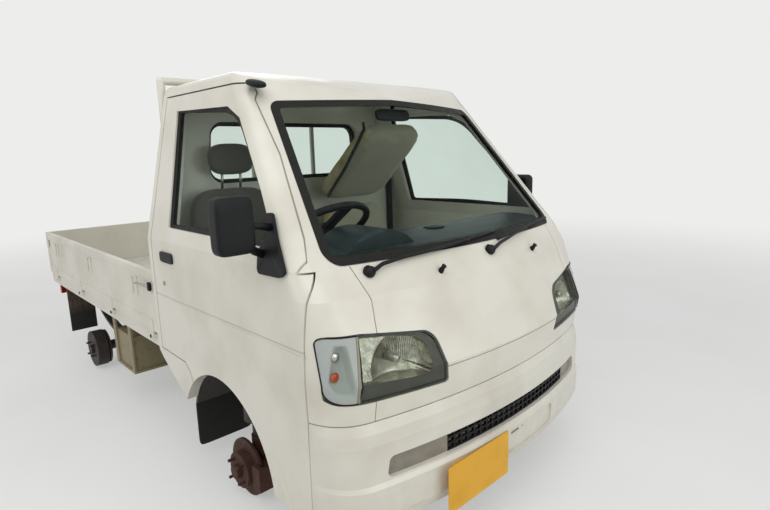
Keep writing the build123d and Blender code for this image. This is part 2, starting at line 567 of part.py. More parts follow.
# Guard frame behind the cab
GUARD_Y = 1386.0
GUARD_R = 17.0
GUARD_TOP_Z = 1752.0
guard = rod((-600, GUARD_Y + 20, 900), (-600, GUARD_Y + 20, GUARD_TOP_Z), GUARD_R)
guard = guard + rod((600, GUARD_Y + 20, 900), (600, GUARD_Y + 20, GUARD_TOP_Z), GUARD_R)
guard = guard + rod((-600, GUARD_Y + 20, GUARD_TOP_Z), (600, GUARD_Y + 20, GUARD_TOP_Z), GUARD_R)
guard = guard + rod((-600, GUARD_Y + 20, 920), (600, GUARD_Y + 20, 920), GUARD_R)
guard = guard + Pos(-600, GUARD_Y + 20, GUARD_TOP_Z) * Sphere(GUARD_R) + Pos(600, GUARD_Y + 20, GUARD_TOP_Z) * Sphere(
    GUARD_R)
for x in (-180, 180):
    guard = guard + rod((x, GUARD_Y + 20, 920), (x, GUARD_Y + 20, GUARD_TOP_Z), 12)
for s in (-1, 1):
    guard = guard + box(s * 640, s * 560, GUARD_Y + 6, GUARD_Y + 34, 880, 920)
guard = guard - box(-900, 900, 0, 1500, 0, 900.0)
guard = guard + box(-640, 640, 1381, 1391, 900, 925)

# Engine and gearbox as one block, exhaust, tank, battery box
engine = box(-230, 210, 860, 1320, 250, 590) + box(-120, 150, 1320, 1620, 260, 470)
engine = engine + box(-60, 60, 1290, 1640, 330, 495) + box(-340, 340, 1100, 1130, 350, 380)
tank = fillet(box(405, 660, 1480, 2140, 330, 540).edges(), 25) + box(400, 660, 1620, 1660, 535, 577)
tank = tank + box(400, 660, 1960, 2000, 535, 577)
muffler = Pos(-230, 1980, 400) * Rot(90, 0, 0) * Cylinder(75, 420)
exhaust = muffler
pipe_points = ((-180, 1300, 400), (-230, 1700, 400), (-230, 2200, 400), (-230, 2500, 460), (-230, 3290, 470))
for p, q in zip(pipe_points, pipe_points[1:]):
    exhaust = exhaust + rod(p, q, 19) + Pos(*q) * Sphere(19)
exhaust = exhaust + box(-238, -222, 2190, 2210, 410, 505) + box(-238, -222, 3230, 3250, 480, 505)
exhaust = exhaust - engine
battery = box(-700, -440, 1880, 2160, 300, 312) + box(-690, -450, 1890, 2150, 312, 500)
battery = battery + box(-700, -690, 1880, 1920, 312, 582) + box(-700, -690, 2120, 2160, 312, 582)
battery = battery + box(-450, -400, 1890, 2150, 520, 560) + box(-460, -450, 1890, 2150, 312, 560)

# Rear axle with drive shaft, springs and dampers
AXLE_R = 30.0
SPRING_X = 480.0
SPINDLE_R = 15.0
RUNNING = 0.05
rear_axle = rod((-606, REAR_AXLE_Y, REAR_HUB_Z), (606, REAR_AXLE_Y + SETBACK, REAR_HUB_Z), AXLE_R)
rear_axle = rear_axle + Pos(0, REAR_AXLE_Y, REAR_HUB_Z) * Sphere(92)
rear_axle = rear_axle + rod((0, REAR_AXLE_Y, REAR_HUB_Z), (0, REAR_AXLE_Y - 190, REAR_HUB_Z + 8), 45)
rear_axle = rear_axle + (rod((0, REAR_AXLE_Y - 180, REAR_HUB_Z + 8), (0, 1600, 455), 27) - engine)
for s, y in ((-1, REAR_AXLE_Y), (1, REAR_AXLE_Y + SETBACK)):
    rear_axle = rear_axle + rod((s * 600, y, REAR_HUB_Z), (s * 612, y, REAR_HUB_Z), DRUM_R - 6)
    rear_axle = rear_axle + rod((s * 600, y, REAR_HUB_Z), (s * 650, y, REAR_HUB_Z), SPINDLE_R)
    rear_axle = rear_axle + box(s * SPRING_X - 30, s * SPRING_X + 30, y - 55, y + 55, REAR_HUB_Z, REAR_HUB_Z + 34)
spring_mid_z = REAR_HUB_Z + 34
leaf = make_face([
    ThreePointArc((-SPRING_X - 27, 2209, 420), (-SPRING_X - 27, REAR_AXLE_Y, spring_mid_z),
                  (-SPRING_X - 27, 3209, 420)),
    Line((-SPRING_X - 27, 3209, 420), (-SPRING_X - 27, 3209, 430)),
    ThreePointArc((-SPRING_X - 27, 3209, 430), (-SPRING_X - 27, REAR_AXLE_Y, spring_mid_z + 24),
                  (-SPRING_X - 27, 2209, 430)),
    Line((-SPRING_X - 27, 2209, 430), (-SPRING_X - 27, 2209, 420)),
])
spring = extrude(leaf, 54, dir=(1, 0, 0))
for y in (2210, 3210):
    spring = spring + box(-SPRING_X - 35, -SPRING_X + 35, y - 20, y + 20, 405, 530)
    spring = spring + box(-SPRING_X - 35, -RAIL_X - 30, y - 20, y + 20, 500, 540)
damper_top = (-428, 2560, 520)
spring = spring + rod((-436, REAR_AXLE_Y - 40, spring_mid_z - 10), damper_top, 24)
spring = spring + box(-452, -RAIL_X - 30, 2535, 2585, 500, 550)
springs = pair(spring) - rear_axle

# Front suspension: strut over each knuckle, lower arm, cross member, rack
STRUT_X = 585.0
BALL_Z = 128.0
PIN_TOP_R = 18.0
BALL_R = 8.0
strut = rod((-STRUT_X, FRONT_AXLE_Y, 334), (-STRUT_X, FRONT_AXLE_Y, 665), 26)
strut = strut + rod((-STRUT_X, FRONT_AXLE_Y, 290), (-STRUT_X, FRONT_AXLE_Y, 340), PIN_TOP_R)
strut = strut + rod((-STRUT_X, FRONT_AXLE_Y, 400), (-STRUT_X, FRONT_AXLE_Y, 640), 55)
arm = rod((-565, FRONT_AXLE_Y, 154), (-330, FRONT_AXLE_Y, 300), 15)
arm = arm + box(-400, -300, FRONT_AXLE_Y - 40, FRONT_AXLE_Y + 40, 280, 345)
arm = arm - rod((-STRUT_X, FRONT_AXLE_Y, 160), (-STRUT_X, FRONT_AXLE_Y, 360), 40)
arm = arm + rod((-STRUT_X, FRONT_AXLE_Y, 138), (-STRUT_X, FRONT_AXLE_Y, 160), 26)
arm = arm + rod((-STRUT_X, FRONT_AXLE_Y, 150), (-STRUT_X, FRONT_AXLE_Y, 190), BALL_R)
track_rod = rod((-520, FRONT_AXLE_Y + 110, 200), (-300, FRONT_AXLE_Y + 110, 300), 9)
side_set = strut + arm + track_rod
front_susp = side_set + Pos(0, SETBACK, 0) * mirror(side_set, Plane.YZ)
front_susp = front_susp + box(-400, 400, FRONT_AXLE_Y - 30, FRONT_AXLE_Y + 30, 290, 345)
front_susp = front_susp + rod((-300, 919, 300), (300, 919, 300), 24)
front_susp = front_susp + box(-200, -160, 830, 919, 290, 320) + box(160, 200, 830, 919, 290, 320)
front_susp = front_susp - engine

# Steered knuckle with caliper, turning about the strut's line
HUB_FACE_X = 685.0
knuckle = rod((-STRUT_X, FRONT_AXLE_Y, 170), (-STRUT_X, FRONT_AXLE_Y, 330), 32)
knuckle = knuckle + rod((-570, FRONT_AXLE_Y, FRONT_HUB_Z), (-630, FRONT_AXLE_Y, FRONT_HUB_Z), 48)
knuckle = knuckle + rod((-600, FRONT_AXLE_Y, FRONT_HUB_Z), (-660, FRONT_AXLE_Y, FRONT_HUB_Z), SPINDLE_R)
knuckle = knuckle + box(-608, -600, FRONT_AXLE_Y - 95, FRONT_AXLE_Y + 60, 164, 270)
caliper = box(-672, -600, FRONT_AXLE_Y - 132, FRONT_AXLE_Y - 79, 165, 262)
caliper = caliper - box(-656, -634, FRONT_AXLE_Y - 121, FRONT_AXLE_Y - 40, 100, 320)
knuckle = knuckle - rod((-STRUT_X, FRONT_AXLE_Y, 288), (-STRUT_X, FRONT_AXLE_Y, 340), PIN_TOP_R + RUNNING)
knuckle = knuckle - rod((-STRUT_X, FRONT_AXLE_Y, 150), (-STRUT_X, FRONT_AXLE_Y, 192), BALL_R + RUNNING)
knuckle = knuckle + caliper + rod((-STRUT_X, FRONT_AXLE_Y + 20, 200), (-530, FRONT_AXLE_Y + 105, 200), 11)

# Front disc: flat ring, hat, nose and studs
STUD_PCD = 100.0
STUD_R = 6.0
disc_ring = rod((-639, FRONT_AXLE_Y, FRONT_HUB_Z), (-650, FRONT_AXLE_Y, FRONT_HUB_Z), DISC_R)
hub_axis = Plane(origin=(-HUB_FACE_X, FRONT_AXLE_Y, FRONT_HUB_Z), z_dir=(-1, 0, 0))


def studs_and_nose(face_x, y, z, nose_r, nose_len):
    """Four wheel studs round a round nose on a hub's outer face."""
    solid = rod((-face_x + 2, y, z), (-face_x - nose_len, y, z), nose_r)
    for k in range(4):
        a = math.radians(45 + 90 * k)
        yy, zz = y + STUD_PCD / 2 * math.cos(a), z + STUD_PCD / 2 * math.sin(a)
        solid = solid + rod((-face_x + 4, yy, zz), (-face_x - 26, yy, zz), STUD_R)
    return solid


disc = disc_ring + rod((-645, FRONT_AXLE_Y, FRONT_HUB_Z), (-HUB_FACE_X, FRONT_AXLE_Y, FRONT_HUB_Z), 72)
disc = disc - rod((-630, FRONT_AXLE_Y, FRONT_HUB_Z), (-675, FRONT_AXLE_Y, FRONT_HUB_Z), 62)
disc = disc + rod((-636, FRONT_AXLE_Y, FRONT_HUB_Z), (-680, FRONT_AXLE_Y, FRONT_HUB_Z), 30)
disc = disc - rod((-630, FRONT_AXLE_Y, FRONT_HUB_Z), (-664, FRONT_AXLE_Y, FRONT_HUB_Z), SPINDLE_R + RUNNING)
disc = disc + studs_and_nose(HUB_FACE_X, FRONT_AXLE_Y, FRONT_HUB_Z, 27, 22)

drum = rod((-620, REAR_AXLE_Y, REAR_HUB_Z), (-HUB_FACE_X, REAR_AXLE_Y, REAR_HUB_Z), DRUM_R)
drum = drum - rod((-615, REAR_AXLE_Y, REAR_HUB_Z), (-677, REAR_AXLE_Y, REAR_HUB_Z), DRUM_R - 9)
drum = drum + rod((-618, REAR_AXLE_Y, REAR_HUB_Z), (-680, REAR_AXLE_Y, REAR_HUB_Z), 28)
drum = drum - rod((-610, REAR_AXLE_Y, REAR_HUB_Z), (-655, REAR_AXLE_Y, REAR_HUB_Z), SPINDLE_R + RUNNING)
drum = drum + studs_and_nose(HUB_FACE_X, REAR_AXLE_Y, REAR_HUB_Z, 29, 16)

# Mud flaps, lamps, plates, wipers, antenna
flap = box(-728, -570, 2988, 2993, 290, 582) + box(-728, -640, 2980, 2988, 540, 582)
tail_lamp = box(-690, -520, 3318, 3350, 490, 582) + box(-640, -560, 3295, 3318, 520, 582)
plates = box(-379, -49, -6, -3, 274, 439) + (box(-330, -100, -3, 60, 380, 420) - bumper_solid)
rear_plate = box(-165, 165, 3346, 3350, 395, 560) + box(-60, 60, 3338, 3346, 430, 582)


# Mirrors on the doors, with the outside handle and lock. The left mirror is folded back.
MIRROR_Z0, MIRROR_Z1 = 1070.0, 1300.0
MIRROR_Y0, MIRROR_Y1 = 372.0, 432.0
MIRROR_W = 130.0
MIRROR_RIM = 8.0
FOLDED_Y0, FOLDED_T = 428.0, 55.0
mirror_base = side_prism([(322, 1083), (446, 1078), (500, 1318), (470, 1310), (380, 1180)], -752, -640)
mirror_base = mirror_base & (cab_solid(-12.0) - cab_solid(0.0))
mirror_arm = rod((-738, 410, 1130), (-800, 400, 1150), 14) + rod((-720, 440, 1245), (-800, 410, 1240), 12)
mirror_head = fillet(box(-MIRROR_X, -MIRROR_X + MIRROR_W, MIRROR_Y0, MIRROR_Y1, MIRROR_Z0, MIRROR_Z1).edges(), 28)
glass_pocket = box(-MIRROR_X + MIRROR_RIM, -MIRROR_X + MIRROR_W - MIRROR_RIM, MIRROR_Y1 - 3, MIRROR_Y1 + 3,
                   MIRROR_Z0 + MIRROR_RIM, MIRROR_Z1 - MIRROR_RIM)
mirror_head = mirror_head - fillet(glass_pocket.edges().filter_by(Axis.Y), 22)
folded_head = fillet(box(FOLDED_MIRROR_X - FOLDED_T, FOLDED_MIRROR_X, FOLDED_Y0, FOLDED_Y0 + MIRROR_W, MIRROR_Z0,
                         MIRROR_Z1).edges(), 24)
folded_arm = rod((738, 410, 1130), (768, 452, 1150), 14) + rod((720, 440, 1245), (768, 456, 1240), 12)
folded_arm = folded_arm - outer
handle = fillet(box(-743, -737, 1121, 1247, 1005, 1049).edges().filter_by(Axis.X), 12)
lock = rod((-737, 1236, 912), (-741, 1236, 912), 9)
mirror_right = group(mirror_base + mirror_arm + mirror_head, handle, lock)
mirror_left = group(mirror(mirror_base, Plane.YZ) + folded_arm + folded_head, mirror(handle, Plane.YZ),
                    mirror(lock, Plane.YZ))

# Wipers and washer nozzles
WIPERS = ((-500.0, 40.0), (30.0, 560.0))
wiper_shell = cab_solid(-26.0) - cab_solid(-8.0)
wiper_solids = []
for x0, x1 in WIPERS:
    pivot = rod((x0, 230, 1062), (x0, 118 + x0 ** 2 / 4980, 1074), 14) - outer - seal_front
    arm_strip = front_prism([(x0 - 8, 1070), (x0 + 8, 1060), (x1 + 4, 1140), (x1 - 4, 1156)], 0, 500) & wiper_shell
    blade = front_prism([(x0 + 130, 1138), (x0 + 132, 1127), (x1 + 30, 1150), (x1 + 28, 1162)], 0, 500)
    blade = blade & (cab_solid(-24.0) - cab_solid(6.0))
    wiper_solids.append(pivot + arm_strip + blade)
NOZZLES = ((-251.0, 137.0, 1043.0), (305.0, 138.0, 1036.0))
for x, y, z in NOZZLES:
    wiper_solids.append((Pos(x, y, z) * Sphere(11)) - outer)
wipers = group(*wiper_solids)

save("mirror_right", mirror_right)
save("mirror_left", mirror_left)
save("wipers", wipers)
save("frame", frame)
save("bed_deck", deck)
save("gate_right", gate_right)
save("gate_left", mirror(gate_right, Plane.YZ))
save("tailgate", tailgate)
save("guard_frame", guard)
save("engine", engine)
save("fuel_tank", tank)
save("exhaust", exhaust)
save("battery_box", battery)
save("rear_axle", rear_axle)
save("rear_springs", springs)
save("front_suspension", front_susp)
save("knuckle_right", knuckle)
save("knuckle_left", Pos(0, SETBACK, 0) * mirror(knuckle, Plane.YZ))
save("front_disc_right", disc)
save("front_disc_left", Pos(0, SETBACK, 0) * mirror(disc, Plane.YZ))
save("rear_drum_right", drum)
save("rear_drum_left", Pos(0, SETBACK, 0) * mirror(drum, Plane.YZ))
save("mud_flaps", pair(flap))
save("tail_lamps", pair(tail_lamp))
save("number_plates", group(plates, rear_plate))
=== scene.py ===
import math

import bmesh
import bpy
import numpy as np
from bpy.props import FloatProperty, FloatVectorProperty, PointerProperty
from bpy.types import Operator, Panel, PropertyGroup
from mathutils import Matrix


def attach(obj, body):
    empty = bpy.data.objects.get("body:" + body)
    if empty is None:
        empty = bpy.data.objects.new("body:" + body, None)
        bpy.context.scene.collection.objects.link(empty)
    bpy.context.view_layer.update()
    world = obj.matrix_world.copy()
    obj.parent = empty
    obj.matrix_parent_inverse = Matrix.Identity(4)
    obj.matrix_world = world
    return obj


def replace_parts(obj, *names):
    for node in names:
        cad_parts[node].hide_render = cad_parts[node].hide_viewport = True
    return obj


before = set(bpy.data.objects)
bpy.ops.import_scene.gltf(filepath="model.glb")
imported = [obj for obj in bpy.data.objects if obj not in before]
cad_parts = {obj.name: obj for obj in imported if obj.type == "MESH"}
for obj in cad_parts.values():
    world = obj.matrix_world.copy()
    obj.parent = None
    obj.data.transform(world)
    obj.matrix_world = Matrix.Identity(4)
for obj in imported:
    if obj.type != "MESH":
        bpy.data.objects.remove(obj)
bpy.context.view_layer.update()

bl_info = {
    "name": "Kei truck finishes",
    "version": (1, 0, 0),
    "blender": (4, 5, 0),
    "location": "3D View > Sidebar > Truck",
    "description": "Finishes, seats and small pieces round the packed frame of a kei truck",
    "category": "Object",
}

SENSOR_MM = 36.0
# The photograph's camera: place in metres, then degrees of yaw to the truck's left, pitch down and roll, and how far
# its centre lies from the picture's middle, as a share of the width
CAMERA_AT = (-1.5167, -2.6896, 1.3372)
CAMERA_YAW, CAMERA_PITCH, CAMERA_ROLL = 43.4, 11.0, -1.5
CAMERA_SHIFT = -1.0 / 770.0
BACKDROP = "#EDEEEC"
FLOOR_REACH = 30.0

# The drawing is in millimetres: x to the truck's left, y backwards from the bumper, z up from the tyres' ground.
# ORIGIN is the row frame's origin in it. Above BELT_Z each side of the cab leans in by TUMBLEHOME of the height.
ORIGIN = np.array([-52.5, 1690.0, 96.5])
BELT_Z = 1090.0
TUMBLEHOME = 0.2246
HALF_WIDTH = 737.0
# Cab's front skin at some heights: z, y in the middle, radius of the front curve, radius of the corner
SKIN = np.array([
    (200.0, 27.0, 2446.0, 170.0),
    (640.0, 27.0, 2446.0, 170.0),
    (771.0, 8.0, 2446.0, 170.0),
    (1010.0, 100.0, 2486.0, 104.0),
    (1094.0, 162.0, 2500.0, 80.0),
    (1610.0, 590.0, 2000.0, 60.0),
    (1790.0, 739.0, 1900.0, 60.0),
])

# Headlamp, right side: corners in x and z with the reach of their rounding, and the reflector's dish
REFLECTOR = ((-636, 897, 12), (-600, 898, 10), (-500, 886, 20), (-392, 861, 42), (-386, 780, 20), (-404, 752, 16),
             (-533, 764, 20), (-640, 776, 10))
SURROUND = ((-635, 902, 8), (-606, 906, 10), (-500, 892, 20), (-362, 872, 55), (-333, 714, 8), (-400, 716, 10),
            (-533, 719, 20), (-641, 722, 8))
CORNER_LENS = ((-722, 915, 24), (-615, 909, 8), (-648, 719, 8), (-722, 718, 52))
DISH_X, DISH_Y, DISH_Z, DISH_R = -490.0, -19.5, 812.0, 168.2
# How far the reflector's rim and its floor lie behind the skin, how deep the corner lamp's tray dips, the y of its
# case's floor and how far from the middle its partition ends
RIM_IN, FLOOR_IN, TRAY_DIP, CASE_FLOOR_Y, PARTITION_X = 9.0, 28.6, 20.0, 162.0, 652.0
# Door window: corners in y and z with the reach of their rounding
DOOR_WINDOW = ((1222, 1612, 14), (790, 1600, 60), (694, 1556, 60), (500, 1322, 90), (372, 1150, 14), (1170, 1150, 14))
# Painted shade line along the doors' fold, in metres: its height at y = 0, its drop in a metre and half its width
FOLD_Z, FOLD_DROP, FOLD_HALF = 0.7525, 0.0096, 0.004
# The sheet of painted shade on the bumper slot's floor lies this far in front of the cab's skin
SLOT_FLOOR_OUT = 4.8


def linear(code):
    """Linear red, green, blue and alpha of an sRGB hex colour."""
    rgb = np.array([int(code[i:i + 2], 16) for i in (1, 3, 5)]) / 255.0
    rgb = np.where(rgb <= 0.04045, rgb / 12.92, ((rgb + 0.055) / 1.055) ** 2.4)
    return (*rgb.tolist(), 1.0)


def colour_prop(name, description, code):
    """A colour that a user may change, its default given as an sRGB hex code."""
    return FloatVectorProperty(name=name, description=description, subtype="COLOR", size=4, min=0.0, max=1.0,
                               default=linear(code))


def darker(colour, share):
    """The colour with that share of its light."""
    return [c * share for c in colour[:3]] + [1.0]


def length_prop(name, description, metres):
    """A length that a user may change."""
    return FloatProperty(name=name, description=description, unit="LENGTH", default=metres, min=0.0)


class TruckColours(PropertyGroup):
    """Colours of the truck's own finishes."""

    enamel: colour_prop("Enamel", "Ivory baked enamel on the pressed panels", "#DDD9CC")
    enamel_dirt: colour_prop("Enamel dirt", "Road film in the hollows of the enamel", "#B9B2A0")
    bumper: colour_prop("Bumper", "Painted bumper moulding", "#DAD7CA")
    moulding: colour_prop("Black moulding", "Black moulded plastic of mirrors and wipers", "#101113")
    dash: colour_prop("Dashboard", "Grey blue moulded dashboard", "#2C3436")
    cloth: colour_prop("Seat cloth", "Pale woven cloth of the tipped seat", "#CBC5AE")
    foam: colour_prop("Seat foam", "Aged foam at the edge of the tipped seat", "#D9CFA8")
    rust: colour_prop("Rust", "Rust on the bare iron", "#5A3322")
    underbody: colour_prop("Underbody", "Black chassis coating", "#26241F")
    plate: colour_prop("Plate", "Yellow plate enamel", "#E0A50E")
    bulb: colour_prop("Indicator bulb", "Amber bulb glass", "#E2571B")


class TruckSizes(PropertyGroup):
    """Sizes that the added pieces are drawn from."""

    flute_pitch: length_prop("Flute pitch", "Distance between the flutes of the lamp glass", 0.0065)
    rubber_width: length_prop("Window channel", "Width of the rubber round the door glass", 0.02)
    camera_lens: FloatProperty(name="Lens", description="Focal length on a 36 mm frame", unit="CAMERA",
                               default=25.14, min=1.0)
    key_power: FloatProperty(name="Key lamp", description="Power of the large overhead lamp", unit="POWER",
                             default=105.0, min=0.0)


# Materials

def add(tree, kind, sockets=(), **settings):
    """Adds one shader node: settings are its own, sockets take a value or another node's output."""
    node = tree.nodes.new("ShaderNode" + kind)
    for key, value in settings.items():
        setattr(node, key, value)
    for key, value in dict(sockets).items():
        if isinstance(value, bpy.types.NodeSocket):
            tree.links.new(value, node.inputs[key])
        else:
            node.inputs[key].default_value = value
    return node


def material(name):
    """A new material with its node tree, its Principled shader and its Object coordinates."""
    made = bpy.data.materials.new(name)
    made.use_nodes = True
    tree = made.node_tree
    shader = tree.nodes["Principled BSDF"]
    place = add(tree, "TexCoord").outputs["Object"]
    return made, tree, shader, place


def mask(tree, place, size_mm, low, high, detail=3.0, stretch=(1.0, 1.0, 1.0)):
    """0 to 1 in cloudy patches about size_mm across, from noise between low and high."""
    moved = add(tree, "Mapping", {"Vector": place, "Scale": stretch}).outputs["Vector"]
    noise = add(tree, "TexNoise", {"Vector": moved, "Scale": 1000.0 / size_mm, "Detail": detail})
    return add(tree, "MapRange", {"Value": noise.outputs["Fac"], "From Min": low, "From Max": high}).outputs["Result"]


def below(tree, place, dirty_z, clean_z):
    """1 at dirty_z and under it, in metres, falling to 0 at clean_z."""
    height = add(tree, "SeparateXYZ", {"Vector": place}).outputs["Z"]
    return add(tree, "MapRange", {"Value": height, "From Min": clean_z, "From Max": dirty_z}).outputs["Result"]


def maths(tree, operation, *values):
    """Result of a Math node for numbers or other nodes' outputs."""
    return add(tree, "Math", dict(enumerate(values)), operation=operation).outputs["Value"]


def times(tree, a, b):
    """Product of two masks or numbers."""
    return maths(tree, "MULTIPLY", a, b)


def tint(tree, factor, first, second):
    """Colour that goes from first to second with factor."""
    return add(tree, "Mix", {0: factor, 6: first, 7: second}, data_type="RGBA").outputs[2]


def rough(tree, factor, smooth, dull):
    """Roughness that goes from smooth to dull with factor."""
    return add(tree, "MapRange", {"Value": factor, "To Min": smooth, "To Max": dull}).outputs["Result"]


def bump(tree, shader, height, depth_mm):
    """Gives the shader a relief of depth_mm from a height of 0 to 1."""
    node = add(tree, "Bump", {"Height": height, "Distance": depth_mm / 1000.0, "Strength": 1.0})
    tree.links.new(node.outputs["Normal"], shader.inputs["Normal"])


def rays(tree, *kinds):
    """1 for the kinds of light path given, such as Is Camera Ray, and 0 for the others."""
    path = add(tree, "LightPath")
    share = path.outputs[kinds[0]]
    for kind in kinds[1:]:
        share = maths(tree, "MAXIMUM", share, path.outputs[kind])
    return share


def wire(tree, shader, **sockets):
    """Links outputs to the shader's sockets, named with underscores for spaces."""
    for key, value in sockets.items():
        target = shader.inputs[key.replace("_", " ")]
        if isinstance(value, bpy.types.NodeSocket):
            tree.links.new(value, target)
        else:
            target.default_value = value


def painted_fold_shade(tree, place):
    """1 along the doors' fold line, which drops a little towards the rear, falling to 0 at half its width: where shade
    is painted into the fold.
    """
    at = add(tree, "SeparateXYZ", {"Vector": place})
    level = maths(tree, "MULTIPLY_ADD", at.outputs["Y"], FOLD_DROP, at.outputs["Z"])
    off = maths(tree, "ABSOLUTE", maths(tree, "SUBTRACT", level, FOLD_Z))
    return add(tree, "MapRange", {"Value": off, "From Min": FOLD_HALF, "From Max": 0.0}).outputs["Result"]


def enamel(colours, name="baked_enamel", base=None, dirt_amount=1.0, low_dirt=0.42, shaded_fold=False):
    """Baked enamel over pressed steel: a warm white gloss with the faint ripple of sprayed paint, cloudy road film
    and more of it low down, and on the doors a painted shade line that darkens their fold."""
    made, tree, shader, place = material(name)
    cloud = mask(tree, place, 260.0, 0.42, 0.8)
    low = times(tree, below(tree, place, 0.02, low_dirt), mask(tree, place, 45.0, 0.25, 0.75, 6.0))
    film = times(tree, maths(tree, "MAXIMUM", cloud, low), 0.55 * dirt_amount)
    paint = tint(tree, film, base or colours.enamel, colours.enamel_dirt)
    if shaded_fold:
        # Painted shade: the doors' fold line darkened towards #8B8779, standing for the shade in the crease
        paint = tint(tree, times(tree, painted_fold_shade(tree, place), 0.6), paint, linear("#8B8779"))
    wire(tree, shader, Base_Color=paint, Roughness=rough(tree, film, 0.3, 0.7), Coat_Weight=0.25,
         Coat_Roughness=0.12)
    bump(tree, shader, mask(tree, place, 4.0, 0.3, 0.7, 2.0), 0.05)
    return made


def bed_enamel(colours):
    """Enamelled bed steel that has carried loads: the same ivory with long grey scuffs and dull dirt in patches."""
    made, tree, shader, place = material("scuffed_bed_enamel")
    scuff = mask(tree, place, 40.0, 0.6, 0.78, 5.0, (3.0, 0.35, 3.0))
    patch = mask(tree, place, 320.0, 0.42, 0.8, 6.0)
    film = maths(tree, "MAXIMUM", scuff, patch)
    worn = tint(tree, times(tree, film, 0.45), colours.enamel, colours.enamel_dirt)
    specks = mask(tree, place, 9.0, 0.76, 0.82, 3.0)
    wire(tree, shader, Base_Color=tint(tree, specks, worn, linear("#8A7460")), Roughness=rough(tree, film, 0.38, 0.65))
    bump(tree, shader, film, 0.12)
    return made


def moulding(name, colour, grain_mm=1.4, smooth=0.42, dull=0.6, fade="#333436"):
    """Grained moulded plastic, faintly faded in patches. The real grain is about 0.4 mm and is drawn coarser, so
    that it shows."""
    made, tree, shader, place = material(name)
    grain = mask(tree, place, grain_mm, 0.35, 0.65, 1.0)
    faded = mask(tree, place, 70.0, 0.5, 0.9, 4.0)
    wire(tree, shader, Base_Color=tint(tree, times(tree, faded, 0.35), colour, linear(fade)),
         Roughness=rough(tree, grain, smooth, dull), Specular_IOR_Level=0.22)
    bump(tree, shader, grain, 0.06)
    return made


def clear(name, tint_code, body_code, least=0.04, most=0.7, film=0.0):
    """Thin clear glass: lets light through with a light tint and mirrors it at a glancing angle. Only the face
    towards the viewer mirrors, so that a solid pane does it once. film is the share that dust takes."""
    made, tree, shader, place = material(name)
    wire(tree, shader, Base_Color=linear(body_code), Roughness=0.03)
    through = add(tree, "BsdfTransparent", {"Color": linear(tint_code)})
    slant = add(tree, "LayerWeight", {"Blend": 0.5}).outputs["Facing"]
    slant = maths(tree, "POWER", slant, 5.0)
    share = add(tree, "MapRange", {"Value": slant, "To Min": least, "To Max": most}).outputs["Result"]
    if film:
        share = maths(tree, "ADD", share, times(tree, mask(tree, place, 180.0, 0.3, 0.8, 5.0), film))
    front = maths(tree, "SUBTRACT", 1.0, add(tree, "NewGeometry").outputs["Backfacing"])
    share = times(tree, share, front)
    mixed = add(tree, "MixShader", {0: share, 1: through.outputs["BSDF"], 2: shader.outputs["BSDF"]})
    tree.links.new(mixed.outputs["Shader"], tree.nodes["Material Output"].inputs["Surface"])
    return made


def chrome(name, code, smooth, dull, flute_mm=0.0):
    """Bright plated metal with a slight haze of age. flute_mm gives it upright flutes that far apart, as the fluted
    glass in front of a reflector shows it."""
    made, tree, shader, place = material(name)
    haze = mask(tree, place, 25.0, 0.35, 0.8, 4.0)
    wire(tree, shader, Base_Color=tint(tree, haze, linear(code), linear("#8F897C")), Metallic=1.0,
         Roughness=rough(tree, haze, smooth, dull))
    if flute_mm:
        # A wave of one metre at scale pi / 10, so that many times finer for flutes in millimetres
        flutes = add(tree, "TexWave", {"Vector": place, "Scale": 100.0 * math.pi / flute_mm},
                     bands_direction="X").outputs["Fac"]
        bump(tree, shader, flutes, 0.8)
    else:
        bump(tree, shader, haze, 0.1)
    return made


def cloth(colours, name="plain_woven_seat_cloth", colour=None):
    """Plain woven cloth: warp and weft about 0.9 mm apart, drawn at 2.2 mm so that they show, with a soft sheen and
    faded patches."""
    made, tree, shader, place = material(name)
    turned = add(tree, "Mapping", {"Vector": place, "Rotation": (0.0, 0.35, 0.35)}).outputs["Vector"]
    warp = add(tree, "TexWave", {"Vector": turned, "Scale": 72.0, "Distortion": 0.6}, bands_direction="X")
    weft = add(tree, "TexWave", {"Vector": turned, "Scale": 72.0, "Distortion": 0.6}, bands_direction="Z")
    weave = times(tree, warp.outputs["Fac"], weft.outputs["Fac"])
    faded = mask(tree, place, 90.0, 0.35, 0.75, 5.0)
    base = colour or colours.cloth
    woven = tint(tree, weave, darker(base, 0.62), base)
    wire(tree, shader, Base_Color=tint(tree, times(tree, faded, 0.3), woven, darker(base, 0.5)),
         Roughness=0.9, Sheen_Weight=0.25, Sheen_Roughness=0.5)
    bump(tree, shader, weave, 0.35)
    return made


def foam(colours):
    """Cut seat foam: cream, open celled, browned with age."""
    made, tree, shader, place = material("aged_seat_foam")
    cells = add(tree, "TexVoronoi", {"Vector": place, "Scale": 330.0}).outputs["Distance"]
    aged = mask(tree, place, 60.0, 0.35, 0.8, 4.0)
    wire(tree, shader, Base_Color=tint(tree, aged, colours.foam, linear("#B59E68")), Roughness=0.95)
    bump(tree, shader, cells, 0.6)
    return made


def rusted(name, base, rust, amount_low, amount_high, metallic=0.0, grit_mm=5.0):
    """Steel or cast iron with rust scale: grit and flakes of two browns over the base."""
    made, tree, shader, place = material(name)
    scale = mask(tree, place, 28.0, amount_low, amount_high, 8.0)
    grit = mask(tree, place, grit_mm, 0.35, 0.7, 6.0)
    two = tint(tree, grit, rust, linear("#2E1C14"))
    wire(tree, shader, Base_Color=tint(tree, scale, base, two), Roughness=rough(tree, scale, 0.55, 0.85),
         Metallic=metallic)
    bump(tree, shader, grit, 0.5)
    return made


def enamel_plate(colours):
    """Yellow reflective enamel on a pressed plate, bare of any marks, with a film of dust."""
    made, tree, shader, place = material("yellow_plate_enamel")
    dust = mask(tree, place, 90.0, 0.45, 0.9, 5.0)
    wire(tree, shader, Base_Color=tint(tree, times(tree, dust, 0.4), colours.plate, linear("#A98632")),
         Roughness=rough(tree, dust, 0.4, 0.75))
    bump(tree, shader, mask(tree, place, 3.0, 0.3, 0.7), 0.05)
    return made


